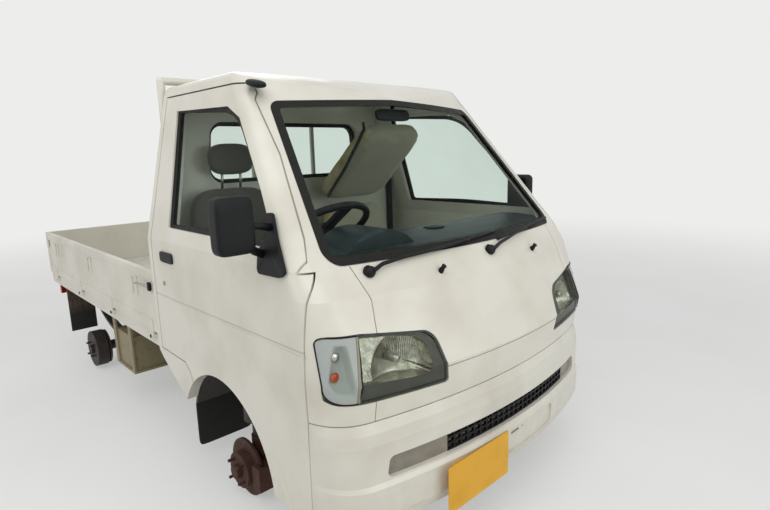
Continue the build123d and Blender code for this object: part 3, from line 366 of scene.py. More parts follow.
def rubber():
    """Extruded rubber: black with a chalky bloom."""
    made, tree, shader, place = material("weathered_rubber")
    bloom = mask(tree, place, 30.0, 0.45, 0.8, 6.0)
    wire(tree, shader, Base_Color=tint(tree, times(tree, bloom, 0.6), linear("#11110F"), linear("#2E2C27")),
         Roughness=rough(tree, bloom, 0.5, 0.85), Specular_IOR_Level=0.2)
    bump(tree, shader, mask(tree, place, 2.0, 0.3, 0.7), 0.08)
    return made


def glow(name, colour):
    """Tinted bulb glass or lens: saturated, glossy, with a faint inner mottling."""
    made, tree, shader, place = material(name)
    mottle = mask(tree, place, 8.0, 0.3, 0.8)
    wire(tree, shader, Base_Color=tint(tree, mottle, colour, darker(colour, 0.55)),
         Roughness=rough(tree, mottle, 0.12, 0.25), Coat_Weight=0.5, Coat_Roughness=0.05)
    bump(tree, shader, mottle, 0.15)
    return made


def muddy_rubber():
    """Mud flap: brown where the road film has dried at the top, black rubber below."""
    made, tree, shader, place = material("muddy_flap_rubber")
    film = maths(tree, "SUBTRACT", 1.0, below(tree, place, 0.3, 0.38))
    speck = mask(tree, place, 20.0, 0.2, 0.8, 6.0)
    wire(tree, shader, Base_Color=tint(tree, times(tree, film, speck), linear("#1C1B19"), linear("#6A5646")),
         Roughness=0.8)
    bump(tree, shader, speck, 0.2)
    return made


FINISH = {}


def finish(name):
    """The material of that name, made the first time it is asked for."""
    colours = bpy.context.scene.truck_colours
    makers = {
        "enamel": lambda: enamel(colours),
        # Door enamel with the painted shade line in the fold
        "door_enamel": lambda: enamel(colours, "door_enamel", shaded_fold=True),
        "floor_enamel": lambda: enamel(colours, "floor_enamel", linear("#A7A193"), 1.6),
        "bumper": lambda: enamel(colours, "painted_bumper_moulding", colours.bumper, 1.3, 0.5),
        # Painted shade: the bumper slot's floor darkened to #756E62 for the shade in its recess
        "shaded_slot_floor": lambda: enamel(colours, "shade_darkened_bumper_moulding", linear("#756E62"), 1.6, 0.6),
        "bed": lambda: bed_enamel(colours),
        "black": lambda: moulding("grained_black_moulding", colours.moulding),
        "dash": lambda: moulding("grained_dashboard_moulding", colours.dash, 1.8, 0.35, 0.5, "#59666A"),
        "chrome": lambda: chrome("vacuum_plated_reflector", "#CFCBC2", 0.16, 0.3, flute_mm=7.0),
        "lamp_case": lambda: moulding("lamp_case_moulding", linear("#4B4B47"), 2.0, 0.4, 0.6, "#77756C"),
        "surround": lambda: moulding("lamp_surround_moulding", linear("#55544E"), 3.0, 0.25, 0.35, "#77766E"),
        "tray": lambda: moulding("corner_lamp_tray_moulding", linear("#C9CBC8"), 5.0, 0.25, 0.35, "#DADCD9"),
        "divider": lambda: moulding("lamp_divider_moulding", linear("#8F8D7A"), 3.0, 0.3, 0.45, "#A5A392"),
        "strap": lambda: cloth(colours, "woven_belt_webbing", linear("#26262A")),
        "lens": lambda: clear("clear_lamp_lens", "#F8FAF8", "#2A2C2B"),
        "corner_cover": lambda: clear("fluted_corner_cover", "#F6F8F7", "#A7ABA8", 0.22, 0.8),
        "glass": lambda: clear("tinted_safety_glass", "#F8FCFA", "#26302E", film=0.04),
        "rubber": rubber,
        "cloth": lambda: cloth(colours),
        "dark_cloth": lambda: cloth(colours, "dark_woven_seat_cloth", linear("#6B685F")),
        "foam": lambda: foam(colours),
        "alloy": lambda: rusted("oily_cast_alloy", linear("#6B6860"), linear("#3A342B"), 0.4, 0.7, 0.6),
        "red": lambda: glow("red_lamp_lens", linear("#A3150F")),
        "amber": lambda: glow("amber_bulb_glass", colours.bulb),
        "plate": lambda: enamel_plate(colours),
        "chassis": lambda: rusted("black_chassis_coating", colours.underbody, colours.rust, 0.55, 0.75),
        "rusty": lambda: rusted("rusted_steel", linear("#4B3A30"), colours.rust, 0.35, 0.65, 0.2),
        "beige_rust": lambda: rusted("rusted_beige_steel", linear("#8E8366"), linear("#6B4A2C"), 0.56, 0.95,
                                     grit_mm=9.0),
        "iron": lambda: rusted("rusted_cast_iron", linear("#3A241B"), colours.rust, 0.3, 0.62, 0.15, 3.5),
        "drum": lambda: rusted("black_cast_iron", linear("#211D1A"), colours.rust, 0.5, 0.8, 0.1, 3.5),
        "flap": muddy_rubber,
        "mirror": lambda: chrome("silvered_mirror_glass", "#E4E6E6", 0.02, 0.05),
        "steel": lambda: chrome("bright_plated_steel", "#B9B7B1", 0.25, 0.45),
    }
    if name not in FINISH:
        FINISH[name] = makers[name]()
    return FINISH[name]


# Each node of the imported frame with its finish
NODE_FINISH = {
    "cab_shell": "enamel", "cab_floor": "floor_enamel", "front_panel": "enamel", "lower_front_panel": "enamel",
    "front_corners": "enamel", "bumper": "bumper", "bumper_grille": "black", "headlamps": "lamp_case",
    "headlamp_lenses": "lens", "cab_glass": "glass", "window_seals": "rubber", "dashboard": "dash",
    "wheel_housings": "chassis", "steering_wheel": "black", "driver_seat": "dark_cloth", "passenger_seat": "cloth",
    "engine": "alloy", "bed_deck": "bed", "guard_frame": "enamel", "gate_right": "bed", "gate_left": "bed",
    "tailgate": "bed", "tail_lamps": "red", "number_plates": "plate", "fuel_tank": "chassis", "exhaust": "rusty",
    "battery_box": "beige_rust", "rear_axle": "chassis", "rear_springs": "chassis", "front_suspension": "chassis",
    "knuckle_right": "iron", "knuckle_left": "iron", "front_disc_right": "iron", "front_disc_left": "iron",
    "rear_drum_right": "drum", "rear_drum_left": "drum", "mud_flaps": "flap", "wipers": "black",
    "door_right": "door_enamel", "door_left": "door_enamel", "door_glass_right": "glass", "door_glass_left": "glass",
    "mirror_right": "black", "mirror_left": "black", "frame": "chassis",
}


# Surfaces

def row(points):
    """Points in the drawing's millimetres, turned to metres in the row frame."""
    return (np.asarray(points, float) - ORIGIN) / 1000.0


def skin_y(x, z, inset=0.0):
    """y of the cab's skin in front, moved inwards by inset. In the middle it is yc + rf - sqrt(rf^2 - x^2); past
    |x| = cx * rf / (rf - rc) it is the corner's arc yb - sqrt(rc^2 - (|x| - cx)^2)."""
    x, z = np.broadcast_arrays(np.abs(np.asarray(x, float)), np.asarray(z, float))
    yc = np.interp(z, SKIN[:, 0], SKIN[:, 1]) + inset
    rf = np.interp(z, SKIN[:, 0], SKIN[:, 2]) - inset
    rc = np.maximum(np.interp(z, SKIN[:, 0], SKIN[:, 3]) - inset, 20.0)
    w = HALF_WIDTH - TUMBLEHOME * np.maximum(z - BELT_Z, 0.0) - inset
    cx = w - rc
    yb = yc + rf - np.sqrt((rf - rc) ** 2 - cx ** 2)
    middle = yc + rf - np.sqrt(rf ** 2 - np.minimum(x, w) ** 2)
    corner = yb - np.sqrt(np.maximum(rc ** 2 - (x - cx) ** 2, 0.0))
    return np.where(x <= cx * rf / (rf - rc), middle, corner)


def on_front(flat, inset=0.0):
    """Points on the cab's front skin, moved inwards by inset, from their x and z."""
    flat = np.asarray(flat, float)
    return np.stack([flat[..., 0], skin_y(flat[..., 0], flat[..., 1], inset), flat[..., 1]], -1)


def on_side(flat, inset):
    """Points on the cab's right side, moved inwards by inset, from their y and z. Above BELT_Z the side leans in."""
    x = TUMBLEHOME * np.maximum(flat[..., 1] - BELT_Z, 0.0) + inset - HALF_WIDTH
    return np.stack([x, flat[..., 0], flat[..., 1]], -1)


def drawn_in(edge, spot, rings):
    """The outline in rings that shrink evenly from the edge to the spot."""
    return spot + np.linspace(1.0, 0.0, rings)[:, None, None] * (edge - spot)


def drawn_along(points, count):
    """count points along a polyline in two coordinates, as many on each run."""
    points = np.asarray(points, float)
    far = np.linspace(0.0, len(points) - 1.0, count)
    return np.stack([np.interp(far, np.arange(len(points)), points[:, k]) for k in (0, 1)], -1)


def sheet_faces(nu, nv, wrap=False):
    """Quads of an nu by nv grid of points; wrap joins the last column to the first."""
    a, b = np.meshgrid(np.arange(nu - 1), np.arange(nv if wrap else nv - 1), indexing="ij")
    c = (b + 1) % nv
    return np.stack([a * nv + b, a * nv + c, (a + 1) * nv + c, (a + 1) * nv + b], -1).reshape(-1, 4)


def ringed(rings):
    """Points and faces of a closed form: rings of points (m, n, 3) joined along, each end closed to its middle."""
    rings = np.asarray(rings, float)
    m, n = rings.shape[:2]
    points = np.concatenate([rings.reshape(-1, 3), rings[:1].mean(1), rings[-1:].mean(1)])
    quads = sheet_faces(m, n, wrap=True).tolist()
    k = np.arange(n)
    first = np.stack([np.full(n, m * n), (k + 1) % n, k], -1)
    last = np.stack([np.full(n, m * n + 1), (m - 1) * n + k, (m - 1) * n + (k + 1) % n], -1)
    return points, quads + first.tolist() + last.tolist()


def banded(loops):
    """Points and faces of a closed band, such as a rubber channel: loops of points (m, n, 3), each joined to the
    next and the last to the first."""
    loops = np.asarray(loops, float)
    m, n = loops.shape[:2]
    faces = sheet_faces(m + 1, n, wrap=True) % (m * n)
    return loops.reshape(-1, 3), faces.tolist()


def tube(path, radius, sides=14):
    """A round bar along path: at each point a circle of radius r in the plane across the path's direction, which is
    the mean of the runs before and after it. radius is one number or one per point."""
    path = np.asarray(path, float)
    along = np.gradient(path, axis=0)
    along /= np.linalg.norm(along, axis=1, keepdims=True)
    up = np.where(np.abs(along[:, 2:]) > 0.9, [[1.0, 0.0, 0.0]], [[0.0, 0.0, 1.0]])
    side = np.cross(along, up)
    side /= np.linalg.norm(side, axis=1, keepdims=True)
    top = np.cross(side, along)
    a = np.linspace(0, 2 * np.pi, sides, endpoint=False)[None, :, None]
    r = np.broadcast_to(np.asarray(radius, float), len(path))[:, None, None]
    return ringed(path[:, None] + r * (np.cos(a) * side[:, None] + np.sin(a) * top[:, None]))


def pad(half, power, centre, tip_deg=0.0, taper=0.0, rings=24, around=48):
    """A rounded block: a superellipsoid |x/a|^p + |y/b|^p + |z/c|^p = 1 with half sizes (a, b, c) and power p, as
    rings from bottom to top. Each direction is scaled by one over its own p-norm. taper narrows x towards the top,
    then the block is tipped about the x axis and moved to centre."""
    lift = np.linspace(-np.pi / 2 + 0.08, np.pi / 2 - 0.08, rings)[:, None]
    turn = np.linspace(0, 2 * np.pi, around, endpoint=False)[None, :]
    d = np.stack([np.cos(lift) * np.cos(turn), np.cos(lift) * np.sin(turn), np.sin(lift) + 0 * turn], -1)
    norm = (np.abs(d) ** power).sum(-1, keepdims=True) ** (1.0 / power)
    points = d / norm * np.asarray(half, float)
    points[..., 0] *= 1.0 - taper * points[..., 2] / np.abs(points[..., 2]).max()
    tip = np.array(Matrix.Rotation(math.radians(tip_deg), 3, "X"))
    return ringed(points @ tip.T + np.asarray(centre, float))


def eased_loop(corners, count):
    """A closed outline in two coordinates through corners (u, v, reach): reach before and after each corner the line
    leaves it for the quadratic curve (1-t)^2 a + 2t(1-t) corner + t^2 b. count points, evenly spaced along it."""
    corners = np.asarray(corners, float)
    path = []
    for k, (u, v, reach) in enumerate(corners):
        here = np.array([u, v])
        before, after = corners[k - 1, :2] - here, corners[(k + 1) % len(corners), :2] - here
        a = here + before / np.linalg.norm(before) * reach
        b = here + after / np.linalg.norm(after) * reach
        t = np.linspace(0.0, 1.0, 12)[:, None]
        path.append((1 - t) ** 2 * a + 2 * t * (1 - t) * here + t ** 2 * b)
    path = np.concatenate(path + [path[0][:1]])
    far = np.concatenate([[0.0], np.cumsum(np.linalg.norm(np.diff(path, axis=0), axis=1))])
    even = np.linspace(0.0, far[-1], count, endpoint=False)
    return np.stack([np.interp(even, far, path[:, 0]), np.interp(even, far, path[:, 1])], -1)


# Pieces

def piece(name, shape, look, slot, body="chassis", closed=True, smooth=True):
    """A mesh object with that finish, riding on a body, from a shape's points in millimetres and its faces."""
    points, faces = shape
    mesh = bpy.data.meshes.new(name)
    mesh.from_pydata(row(points).reshape(-1, 3).tolist(), [], [list(map(int, f)) for f in faces])
    if closed:
        form = bmesh.new()
        form.from_mesh(mesh)
        bmesh.ops.remove_doubles(form, verts=form.verts, dist=1e-6)
        bmesh.ops.recalc_face_normals(form, faces=form.faces)
        form.to_mesh(mesh)
        form.free()
    mesh.polygons.foreach_set("use_smooth", [smooth] * len(mesh.polygons))
    mesh.materials.append(finish(look))
    made = bpy.data.objects.new(name, mesh)
    bpy.context.scene.collection.objects.link(made)
    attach(made, body)
    return made


def both_sides(name, shape, look, slot, body="chassis", **how):
    """The piece on the right side and its mirror image on the left, with the side filled in for {side} in the names
    of piece and body."""
    points, faces = shape
    for side, across in (("right", 1.0), ("left", -1.0)):
        there = np.asarray(points, float) * [across, 1.0, 1.0]
        piece(name.format(side=side), (there, faces), look, slot, body.format(side=side), **how)


def stuffed(made, voxel_mm=9.0, cap_mm=10.0, frames=20):
    """Blows a pad up by a pressure cloth run, holding each point within cap_mm of where it began."""
    mesh = made.data
    remesh = made.modifiers.new("Voxels", "REMESH")
    remesh.mode = "VOXEL"
    remesh.voxel_size = voxel_mm / 1000.0
    graph = bpy.context.evaluated_depsgraph_get()
    even = bpy.data.meshes.new_from_object(made.evaluated_get(graph))
    made.modifiers.clear()
    made.data = even
    even.materials.clear()
    even.materials.append(mesh.materials[0])
    start = np.zeros(len(even.vertices) * 3, np.float32)
    even.vertices.foreach_get("co", start)
    soft = made.modifiers.new("Stuffing", "CLOTH")
    soft.settings.use_pressure = True
    soft.settings.uniform_pressure_force = 4.0
    soft.settings.effector_weights.gravity = 0.0
    soft.settings.quality = 4
    soft.point_cache.frame_start = 1
    soft.point_cache.frame_end = frames
    scene = bpy.context.scene
    for number in range(1, frames + 1):
        scene.frame_set(number)
    graph = bpy.context.evaluated_depsgraph_get()
    blown = bpy.data.meshes.new_from_object(made.evaluated_get(graph))
    end = np.zeros(len(blown.vertices) * 3, np.float32)
    blown.vertices.foreach_get("co", end)
    move = (end - start).reshape(-1, 3)
    far = np.linalg.norm(move, axis=1, keepdims=True)
    move *= np.minimum(1.0, cap_mm / 1000.0 / np.maximum(far, 1e-9))
    made.modifiers.clear()
    even.vertices.foreach_set("co", (start.reshape(-1, 3) + move).ravel())
    scene.frame_set(1)
    bpy.data.meshes.remove(blown)
    even.polygons.foreach_set("use_smooth", [True] * len(even.polygons))


# Operators

class TRUCK_OT_finishes(Operator):
    """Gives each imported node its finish"""

    bl_idname = "truck.finishes"
    bl_label = "Node finishes"

    def execute(self, context):
        for name, look in NODE_FINISH.items():
            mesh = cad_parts[name].data
            mesh.materials.clear()
            mesh.materials.append(finish(look))
        return {"FINISHED"}


class TRUCK_OT_lamps(Operator):
    """Adds the reflectors, fluted glass, dividers and bulbs of both headlamps"""

    bl_idname = "truck.lamps"
    bl_label = "Headlamp insides"

    def execute(self, context):
        pitch = context.scene.truck_sizes.flute_pitch * 1000.0
        # Flutes moulded behind the main lens: x runs across, z up between two edges
        v = np.linspace(0.0, 1.0, 24)[None, :]
        x = np.linspace(-630.0, -386.0, 300)[:, None] + 0 * v
        low = np.interp(x, [-630, -533, -400, -386], [778, 766, 756, 780])
        top = np.interp(x, [-630, -600, -500, -420, -386], [896, 894, 882, 866, 826])
        flutes = on_front(np.stack([x, low + (top - low) * v], -1), 6.0)
        flutes[..., 1] += 0.9 * (1.0 - np.abs(np.sin(np.pi * x / pitch)))
        # Reflector: rings drawn in from its outline. It is as deep as its floor or, where that lies further back,
        # the dish, a ball y = y0 + sqrt(R^2 - (x - cx)^2 - (z - cz)^2)
        edge = eased_loop(REFLECTOR, 160)
        spot = np.array([DISH_X, DISH_Z])
        flat = drawn_in(edge, spot, 40)
        dish = DISH_Y + np.sqrt(np.maximum(DISH_R ** 2 - ((flat - spot) ** 2).sum(-1), 0.0))
        bowl = on_front(flat, FLOOR_IN)
        bowl[..., 1] = np.maximum(bowl[..., 1], dish)
        bowl = np.concatenate([on_front(edge, RIM_IN)[None], bowl])
        # Grey surround between the lamp's outline and the reflector's
        out = eased_loop(SURROUND, 160)
        surround = on_front(out + np.linspace(0.0, 1.0, 9)[:, None, None] * (edge - out), RIM_IN)
        # Corner lamp tray: a flush rim, then a floor that dips by TRAY_DIP sin(a), a from 0 at the rim to a right
        # angle, but not beside the partition and not past the case's own floor
        out = eased_loop(CORNER_LENS, 160)
        flat = drawn_in(out, out.mean(0), 30)
        share = np.linspace(1.0, 0.0, 30)[:, None]
        dip = TRAY_DIP * np.sin(np.clip((0.76 - share) / 0.4, 0.0, 1.0) * np.pi / 2)
        dip = dip * np.clip((-flat[..., 0] - PARTITION_X) / 12.0, 0.0, 1.0)
        tray = on_front(flat, -0.6)
        tray[..., 1] = np.maximum(tray[..., 1], np.minimum(tray[..., 1] + dip, CASE_FLOOR_Y))
        # Clear cover of the corner lamp, which wraps round the corner
        cover = on_front(flat, -2.0)
        for name, sheet, look, slot in (
                ("flutes", flutes, "lens", "clear_glass"), ("bowl", bowl, "chrome", "lamp_chrome"),
                ("surround", surround, "surround", "lamp_chrome"), ("corner_tray", tray, "tray", "lamp_chrome"),
                ("corner_cover", cover, "corner_cover", "clear_glass")):
            faces = sheet_faces(*sheet.shape[:2], wrap=name != "flutes")
            both_sides(f"lamp_{name}_{{side}}", (sheet, faces), look, slot, closed=False)
        # Gasket round the cover, divider between the two lamps and the bulb's shield
        gasket = tube(on_front(np.concatenate([out, out[:1]]), -1.0), 2.4, 6)
        both_sides("lamp_gasket_{side}", gasket, "rubber", "black_rubber")
        z = np.linspace(722.0, 906.0, 30)
        line = np.stack([np.interp(z, [722, 771, 906], [-646, -646, -617]), z], -1)
        both_sides("lamp_divider_{side}", tube(on_front(line, 1.0), 5.0, 8), "divider", "lamp_chrome")
        shield = tube([(DISH_X, y, DISH_Z) for y in (148.0, 110.0, 100.0)], [15.0, 15.0, 9.0], 20)
        both_sides("bulb_shield_{side}", shield, "steel", "lamp_chrome")
        for name, x, z, size, look in (("amber", -690.0, 799.0, 15.0, "amber"),
                                       ("clear", -684.0, 858.0, 14.0, "steel")):
            y = min(float(skin_y(x, z)) + 15.0, 157.0)
            ball = pad((size, 7.0, size), 2.0, (x, y, z), rings=12, around=20)
            both_sides(f"{name}_bulb_{{side}}", ball, look, "clear_glass")
        return {"FINISHED"}


class TRUCK_OT_cab_trim(Operator):
    """Adds the window channels, the inside mirror, the belts, the mirror glass, the aerial foot and the slot's ends"""

    bl_idname = "truck.cab_trim"
    bl_label = "Cab trim"

    def execute(self, context):
        width = context.scene.truck_sizes.rubber_width * 1000.0
        # Rubber channel in each door's window: outline and the same outline drawn in by the channel's width
        outer = eased_loop(DOOR_WINDOW, 220)
        away = outer - np.array(DOOR_WINDOW, float)[:, :2].mean(0)
        inner = outer - away / np.linalg.norm(away, axis=1, keepdims=True) * width
        channel = [on_side(loop, inset) for loop, inset in ((outer, 7.0), (inner, 11.0), (inner, 26.0), (outer, 26.0))]
        both_sides("window_channel_{side}", banded(channel), "rubber", "black_rubber", "door_{side}_body", smooth=False)
        # Belt behind each door: a strap 46 wide and 4 thick
        line = np.array([(-630.0, 1292, 1500), (-636.6, 1296, 1280), (-645.0, 1300, 1000), (-652.2, 1304, 760)])
        belt = ringed(line[:, None] + [(-2, -23, 0), (2, -23, 0), (2, 23, 0), (-2, 23, 0)])
        both_sides("belt_{side}", belt, "strap", "black_plastic", smooth=False)
        # Dull floor of the bumper slot's closed ends: a sheet darkened with painted shade
        for name, x0, x1 in (("right", -567.0, -328.0), ("left", 441.0, 567.0)):
            z = np.linspace(460.0, 526.0, 8)[None, :]
            end = np.interp(z, [460, 526], [565, 555])
            x = np.clip(np.linspace(x0, x1, 40)[:, None], -end, end)
            sheet = on_front(np.stack([x, z + 0 * x], -1)) - [0.0, SLOT_FLOOR_OUT, 0.0]
            piece(f"shaded_slot_floor_{name}", (sheet, sheet_faces(40, 8)), "shaded_slot_floor", "ivory_paint_bumper", closed=False)
        # Inside mirror on its stem, the glass of the right outside mirror and the aerial's foot
        head = pad((95.0, 10.0, 24.0), 5.0, (40.0, 640.0, 1576.0), -12.0, rings=16, around=40)
        piece("inside_mirror", head, "black", "black_plastic")
        stem = tube([(40.0, 646.0, 1580.0), (40.0, 644.0, 1598.0), (40.0, 636.0, 1618.0)], 8.0)
        piece("inside_mirror_stem", stem, "black", "black_plastic")
        glass = eased_loop([(-892, 1160, 22), (-792, 1160, 22), (-792, 1308, 22), (-892, 1308, 22)], 60)
        pane = ringed([np.insert(glass, 1, y, axis=1) for y in (432.4, 430.8)])
        piece("mirror_glass_right", pane, "mirror", "clear_glass", "door_right_body", smooth=False)
        foot = pad((30.0, 40.0, 13.0), 2.5, (-571.0, 676.0, 1668.0), 14.0, rings=14, around=32)
        piece("aerial_foot", foot, "black", "black_plastic")
        return {"FINISHED"}


class TRUCK_OT_outside(Operator):
    """Makes the right mirror with the door's handle and lock, the gates' latches, the wipers, the washer nozzles, the
    front flaps and the dashboard's pad"""

    bl_idname = "truck.outside"
    bl_label = "Mirror, latches, wipers, flaps and dashboard pad"

    def execute(self, context):
        door = "door_right_body"
        head = pad((60.0, 29.0, 84.0), 7.0, (-842.0, 402.0, 1234.0), rings=32, around=60)
        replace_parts(piece("mirror_head_right", head, "black", "black_plastic", door), "mirror_right")
        for name, path, radius in (("upper", [(-712, 404, 1214), (-752, 412, 1224), (-800, 405, 1226)], 12.0),
                                   ("lower", [(-718, 430, 1124), (-765, 428, 1148), (-800, 412, 1174)], 13.0)):
            piece(f"mirror_arm_{name}_right", tube(path, radius), "black", "black_plastic", door)
        foot = eased_loop([(435, 1257, 8), (404, 1257, 8), (362, 1183, 20), (298, 1094, 8), (320, 1076, 10),
                           (446, 1072, 12), (458, 1144, 8), (427, 1166, 20)], 90)
        foot = ringed([on_side(foot, -out) for out in (0.6, 11.0)])
        piece("mirror_foot_right", foot, "black", "black_plastic", door, smooth=False)
        handle = pad((3.4, 63.0, 22.0), 6.0, (-740.6, 1184.0, 1027.0), around=60)
        piece("door_handle_right", handle, "black", "black_plastic", door)
        lock = tube([(x, 1236, 912) for x in (-737.2, -740.6, -741.2)], [9.0, 9.0, 7.5], 24)
        piece("door_lock_right", lock, "steel", "black_plastic", door, smooth=False)
        # Black plugs at the side gates' hinges, and the lever and catch of each gate's front latch
        gate = "gate_{side}_body"
        for number, y in enumerate((1457.0, 2019.0, 2612.0)):
            plug = tube([(x, y, 627) for x in (-740.5, -743.5, -744.5)], [8.5, 8.5, 6.0], 20)
            both_sides(f"hinge_plug_{{side}}_{number}", plug, "black", "black_plastic", gate)
        lever = tube([(-739, 1418, 868), (-745, 1440, 868), (-748, 1500, 865), (-747, 1575, 861)],
                     [7.0, 6.0, 5.5, 5.0], 12)
        both_sides("latch_lever_{side}", lever, "steel", "black_plastic", gate)
        catch = pad((6.0, 14.0, 20.0), 5.0, (-742.0, 1411.0, 868.0), rings=16, around=32)
        both_sides("latch_catch_{side}", catch, "black", "black_plastic", gate)
        # Wipers in front of the windscreen: x and z of the pivot and along each arm and blade
        wipers = (
            ("right", (-512, 1074),
             ((-506, 1077), (-466, 1092), (-382, 1101), (-276, 1106), (-157, 1112), (-60, 1118)),
             ((-401, 1100), (-258, 1106), (-108, 1113), (118, 1124))),
            ("left", (28, 1070),
             ((34, 1073), (94, 1087), (218, 1103), (330, 1112)),
             ((104, 1098), (265, 1109), (441, 1116), (600, 1121))),
        )
        for name, (x, z), arm, blade in wipers:
            front = float(skin_y(x, z))
            cap = tube([(x, front + back, z) for back in (2, -16, -22, -23)], [19.0, 18.0, 13.0, 6.0], 28)
            made = piece(f"wiper_cap_{name}", cap, "black", "black_plastic")
            if name == "right":
                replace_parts(made, "wipers")
            for part, points, out, thick in (("arm", arm, 20.0, (7.5, 4.0)), ("blade", blade, 10.0, (4.5, 4.5))):
                bar = tube(on_front(drawn_along(points, 24), -out), np.linspace(*thick, 24), 10)
                piece(f"wiper_{part}_{name}", bar, "black", "black_plastic")
        for name, x, z in (("right", -251.0, 1043.0), ("left", 305.0, 1036.0)):
            front = float(skin_y(x, z))
            path = [(x, front + back, z + up) for back, up in ((4, -13), (-9, 4), (-14, 10), (-19, 16))]
            piece(f"washer_nozzle_{name}", tube(path, [10.0, 9.0, 6.5, 9.0], 16), "black", "black_plastic")
        # Rubber flaps on the rear edge of the front wheel housings
        flap = pad((128.0, 3.0, 112.0), 12.0, (-557.0, 1164.0, 283.0))
        both_sides("front_flap_{side}", flap, "flap", "black_rubber")
        # Pad on the dashboard's top: a profile in y and z, run across and kept inside the cab's skin
        profile = drawn_along([(228, 1074), (240, 1098), (262, 1108), (340, 1120), (430, 1127), (500, 1124),
                               (538, 1106), (560, 1068), (572, 1012)], 60)
        x = np.linspace(-645.0, 645.0, 90)[:, None] + 0 * profile[:, 0]
        z = profile[:, 1] + 0 * x
        top = np.stack([x, np.maximum(profile[:, 0], skin_y(x, z, 34.0)), z], -1)
        piece("dash_pad", (top, sheet_faces(90, 60)), "dash", "grey_plastic", closed=False)
        vent = pad((50.0, 34.0, 3.0), 2.4, (48.0, 424.0, 1128.0), rings=10)
        piece("dash_vent", vent, "black", "black_plastic")
        return {"FINISHED"}


class TRUCK_OT_seats(Operator):
    """Makes the driver's seat and the tipped passenger's seat as padded pieces"""

    bl_idname = "truck.seats"
    bl_label = "Seats"

    def execute(self, context):
        pads = (
            # name, half sizes, power, centre, tip, taper, finish, replaced node
            ("driver_cushion", (224, 226, 46), 4.5, (-392, 950, 828), 3.0, 0.0, "dark_cloth", "driver_seat"),
            ("driver_backrest", (218, 44, 246), 4.5, (-392, 1222, 1052), -12.0, 0.08, "dark_cloth", None),
            ("driver_headrest", (104, 38, 68), 3.2, (-385, 1249, 1414), -6.0, 0.0, "dark_cloth", None),
            ("passenger_backrest", (208, 40, 258), 5.0, (280, 1050, 1377), 48.5, 0.05, "cloth", "passenger_seat"),
            ("passenger_cushion", (208, 44, 225), 5.0, (280, 1158, 948), -14.0, 0.0, "cloth", None),
        )
        for name, half, power, centre, tip, taper, look, node in pads:
            made = piece(name, pad(half, power, centre, tip, taper), look, "seat_cloth")
            stuffed(made)
            if look == "cloth":
                # The cover is off the pad's right edge, so its foam shows
                made.data.materials.append(finish("foam"))
                for face in made.data.polygons:
                    face.material_index = int(face.normal.x < -0.62)
            if node:
                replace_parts(made, node)
        for name, x in (("right", -430.0), ("left", -340.0)):
            post = tube([(x, 1262, 1280), (x, 1255, 1320), (x, 1250, 1370)], 6.0)
            piece(f"headrest_post_{name}", post, "steel", "seat_cloth")
        piping = tube([(78.0, 868.0, 1560.0), (76.0, 862.0, 1530.0), (74.0, 1000.0, 1360.0),
                       (74.0, 1148.0, 1215.0)], 8.0)
        piece("seat_piping", piping, "strap", "seat_cloth")
        return {"FINISHED"}


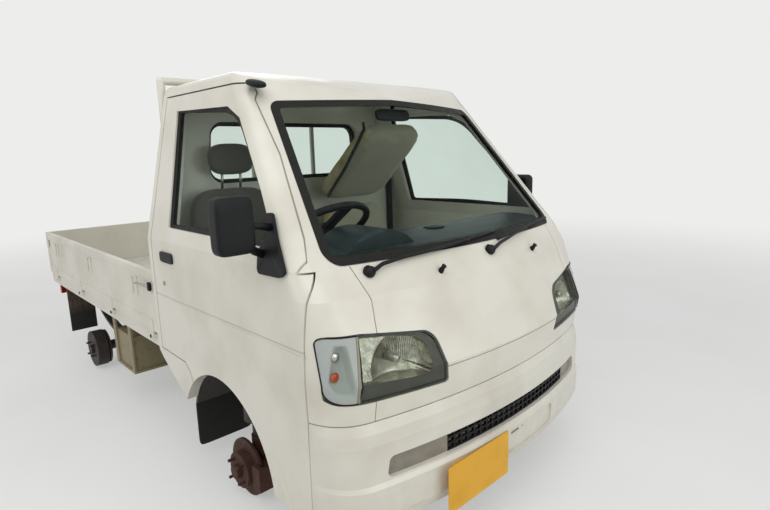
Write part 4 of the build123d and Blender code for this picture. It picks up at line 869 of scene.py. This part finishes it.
class TRUCK_OT_stage(Operator):
    """Sets the floor, the pale surroundings, the lamps and the camera"""

    bl_idname = "truck.stage"
    bl_label = "Stage, lamps and camera"

    def execute(self, context):
        scene = context.scene
        scene.view_settings.view_transform = "Standard"
        world = bpy.data.worlds.new("studio")
        scene.world = world
        world.use_nodes = True
        tree = world.node_tree
        tree.nodes.clear()
        seen = rays(tree, "Is Camera Ray", "Is Glossy Ray", "Is Transmission Ray")
        lit = add(tree, "Background", {"Color": (0.93, 0.96, 1.0, 1.0), "Strength": 0.42})
        shown = add(tree, "Background", {"Color": linear(BACKDROP), "Strength": 1.0})
        both = add(tree, "MixShader", {0: seen, 1: lit.outputs[0], 2: shown.outputs[0]})
        tree.links.new(both.outputs[0], add(tree, "OutputWorld").inputs["Surface"])

        # Floor: pale, going over into the backdrop's colour far off
        mesh = bpy.data.meshes.new("floor")
        corners = [(x * FLOOR_REACH, y * FLOOR_REACH, 0.0) for x, y in ((-1, -1), (1, -1), (1, 1), (-1, 1))]
        mesh.from_pydata(corners, [], [(0, 1, 2, 3)])
        floor = bpy.data.objects.new("floor", mesh)
        scene.collection.objects.link(floor)
        made, tree, shader, place = material("pale_studio_floor")
        cloud = mask(tree, place, 900.0, 0.3, 0.7)
        wire(tree, shader, Base_Color=tint(tree, cloud, linear("#F0EFEC"), linear("#E8E7E3")), Roughness=0.9,
             Specular_IOR_Level=0.1)
        far = add(tree, "VectorMath", {0: place}, operation="LENGTH").outputs["Value"]
        far = add(tree, "MapRange", {"Value": far, "From Min": 2.2, "From Max": 9.0, "To Min": 0.45},
                  interpolation_type="SMOOTHSTEP").outputs["Result"]
        haze = add(tree, "Emission", {"Color": linear(BACKDROP), "Strength": 1.0})
        share = times(tree, far, rays(tree, "Is Camera Ray", "Is Glossy Ray"))
        mixed = add(tree, "MixShader", {0: share, 1: shader.outputs["BSDF"], 2: haze.outputs["Emission"]})
        # Seen from below, the floor is clear, so that the truck's underside shows
        under = add(tree, "NewGeometry").outputs["Backfacing"]
        mixed = add(tree, "MixShader", {0: under, 1: mixed.outputs["Shader"],
                                        2: add(tree, "BsdfTransparent").outputs["BSDF"]})
        tree.links.new(mixed.outputs["Shader"], tree.nodes["Material Output"].inputs["Surface"])
        mesh.materials.append(made)

        for name, place, turn, size, share in (
                ("key", (-2.2, -2.6, 4.6), (28, -22, 0), 4.5, 1.0), ("fill", (-5.0, 0.5, 2.6), (0, -68, 0), 3.5, 0.4),
                ("front", (0.4, -5.4, 2.3), (80, 0, 0), 3.0, 0.5), ("back", (2.5, 4.8, 3.4), (-58, 16, 0), 3.0, 0.35)):
            lamp = bpy.data.lights.new(name, "AREA")
            lamp.shape = "SQUARE"
            lamp.size = size
            lamp.energy = scene.truck_sizes.key_power * share
            holder = bpy.data.objects.new(name, lamp)
            holder.location = place
            holder.rotation_euler = [math.radians(a) for a in turn]
            scene.collection.objects.link(holder)

        camera = bpy.data.cameras.new("photo_view")
        camera.sensor_width = SENSOR_MM
        camera.lens = scene.truck_sizes.camera_lens
        camera.clip_start = 0.05
        camera.shift_x = CAMERA_SHIFT
        holder = bpy.data.objects.new("photo_view", camera)
        yaw, pitch, roll = (math.radians(a) for a in (CAMERA_YAW, CAMERA_PITCH, CAMERA_ROLL))
        ahead = np.array([math.sin(yaw) * math.cos(pitch), math.cos(yaw) * math.cos(pitch), -math.sin(pitch)])
        right = np.array([math.cos(yaw), -math.sin(yaw), 0.0])
        up = np.cross(right, ahead)
        across = math.cos(roll) * right + math.sin(roll) * up
        upright = -math.sin(roll) * right + math.cos(roll) * up
        turn = Matrix(np.stack([across, upright, -ahead], 1).tolist()).to_4x4()
        turn.translation = CAMERA_AT
        holder.matrix_world = turn
        scene.collection.objects.link(holder)
        scene.camera = holder
        return {"FINISHED"}


class TRUCK_PT_panel(Panel):
    """Lists the steps and the values they use"""

    bl_label = "Kei truck"
    bl_idname = "TRUCK_PT_panel"
    bl_space_type = "VIEW_3D"
    bl_region_type = "UI"
    bl_category = "Truck"

    def draw(self, context):
        for group in (context.scene.truck_colours, context.scene.truck_sizes):
            for key in group.__annotations__:
                self.layout.prop(group, key)
        for step in STEPS:
            self.layout.operator(step.bl_idname)


STEPS = (TRUCK_OT_finishes, TRUCK_OT_lamps, TRUCK_OT_cab_trim, TRUCK_OT_outside, TRUCK_OT_seats, TRUCK_OT_stage)
CLASSES = (TruckColours, TruckSizes, *STEPS, TRUCK_PT_panel)


def register():
    for item in CLASSES:
        bpy.utils.register_class(item)
    bpy.types.Scene.truck_colours = PointerProperty(type=TruckColours)
    bpy.types.Scene.truck_sizes = PointerProperty(type=TruckSizes)


def unregister():
    del bpy.types.Scene.truck_sizes
    del bpy.types.Scene.truck_colours
    for item in reversed(CLASSES):
        bpy.utils.unregister_class(item)


def main():
    register()
    for step in STEPS:
        group, name = step.bl_idname.split(".")
        getattr(getattr(bpy.ops, group), name)()


if __name__ == "__main__":
    main()
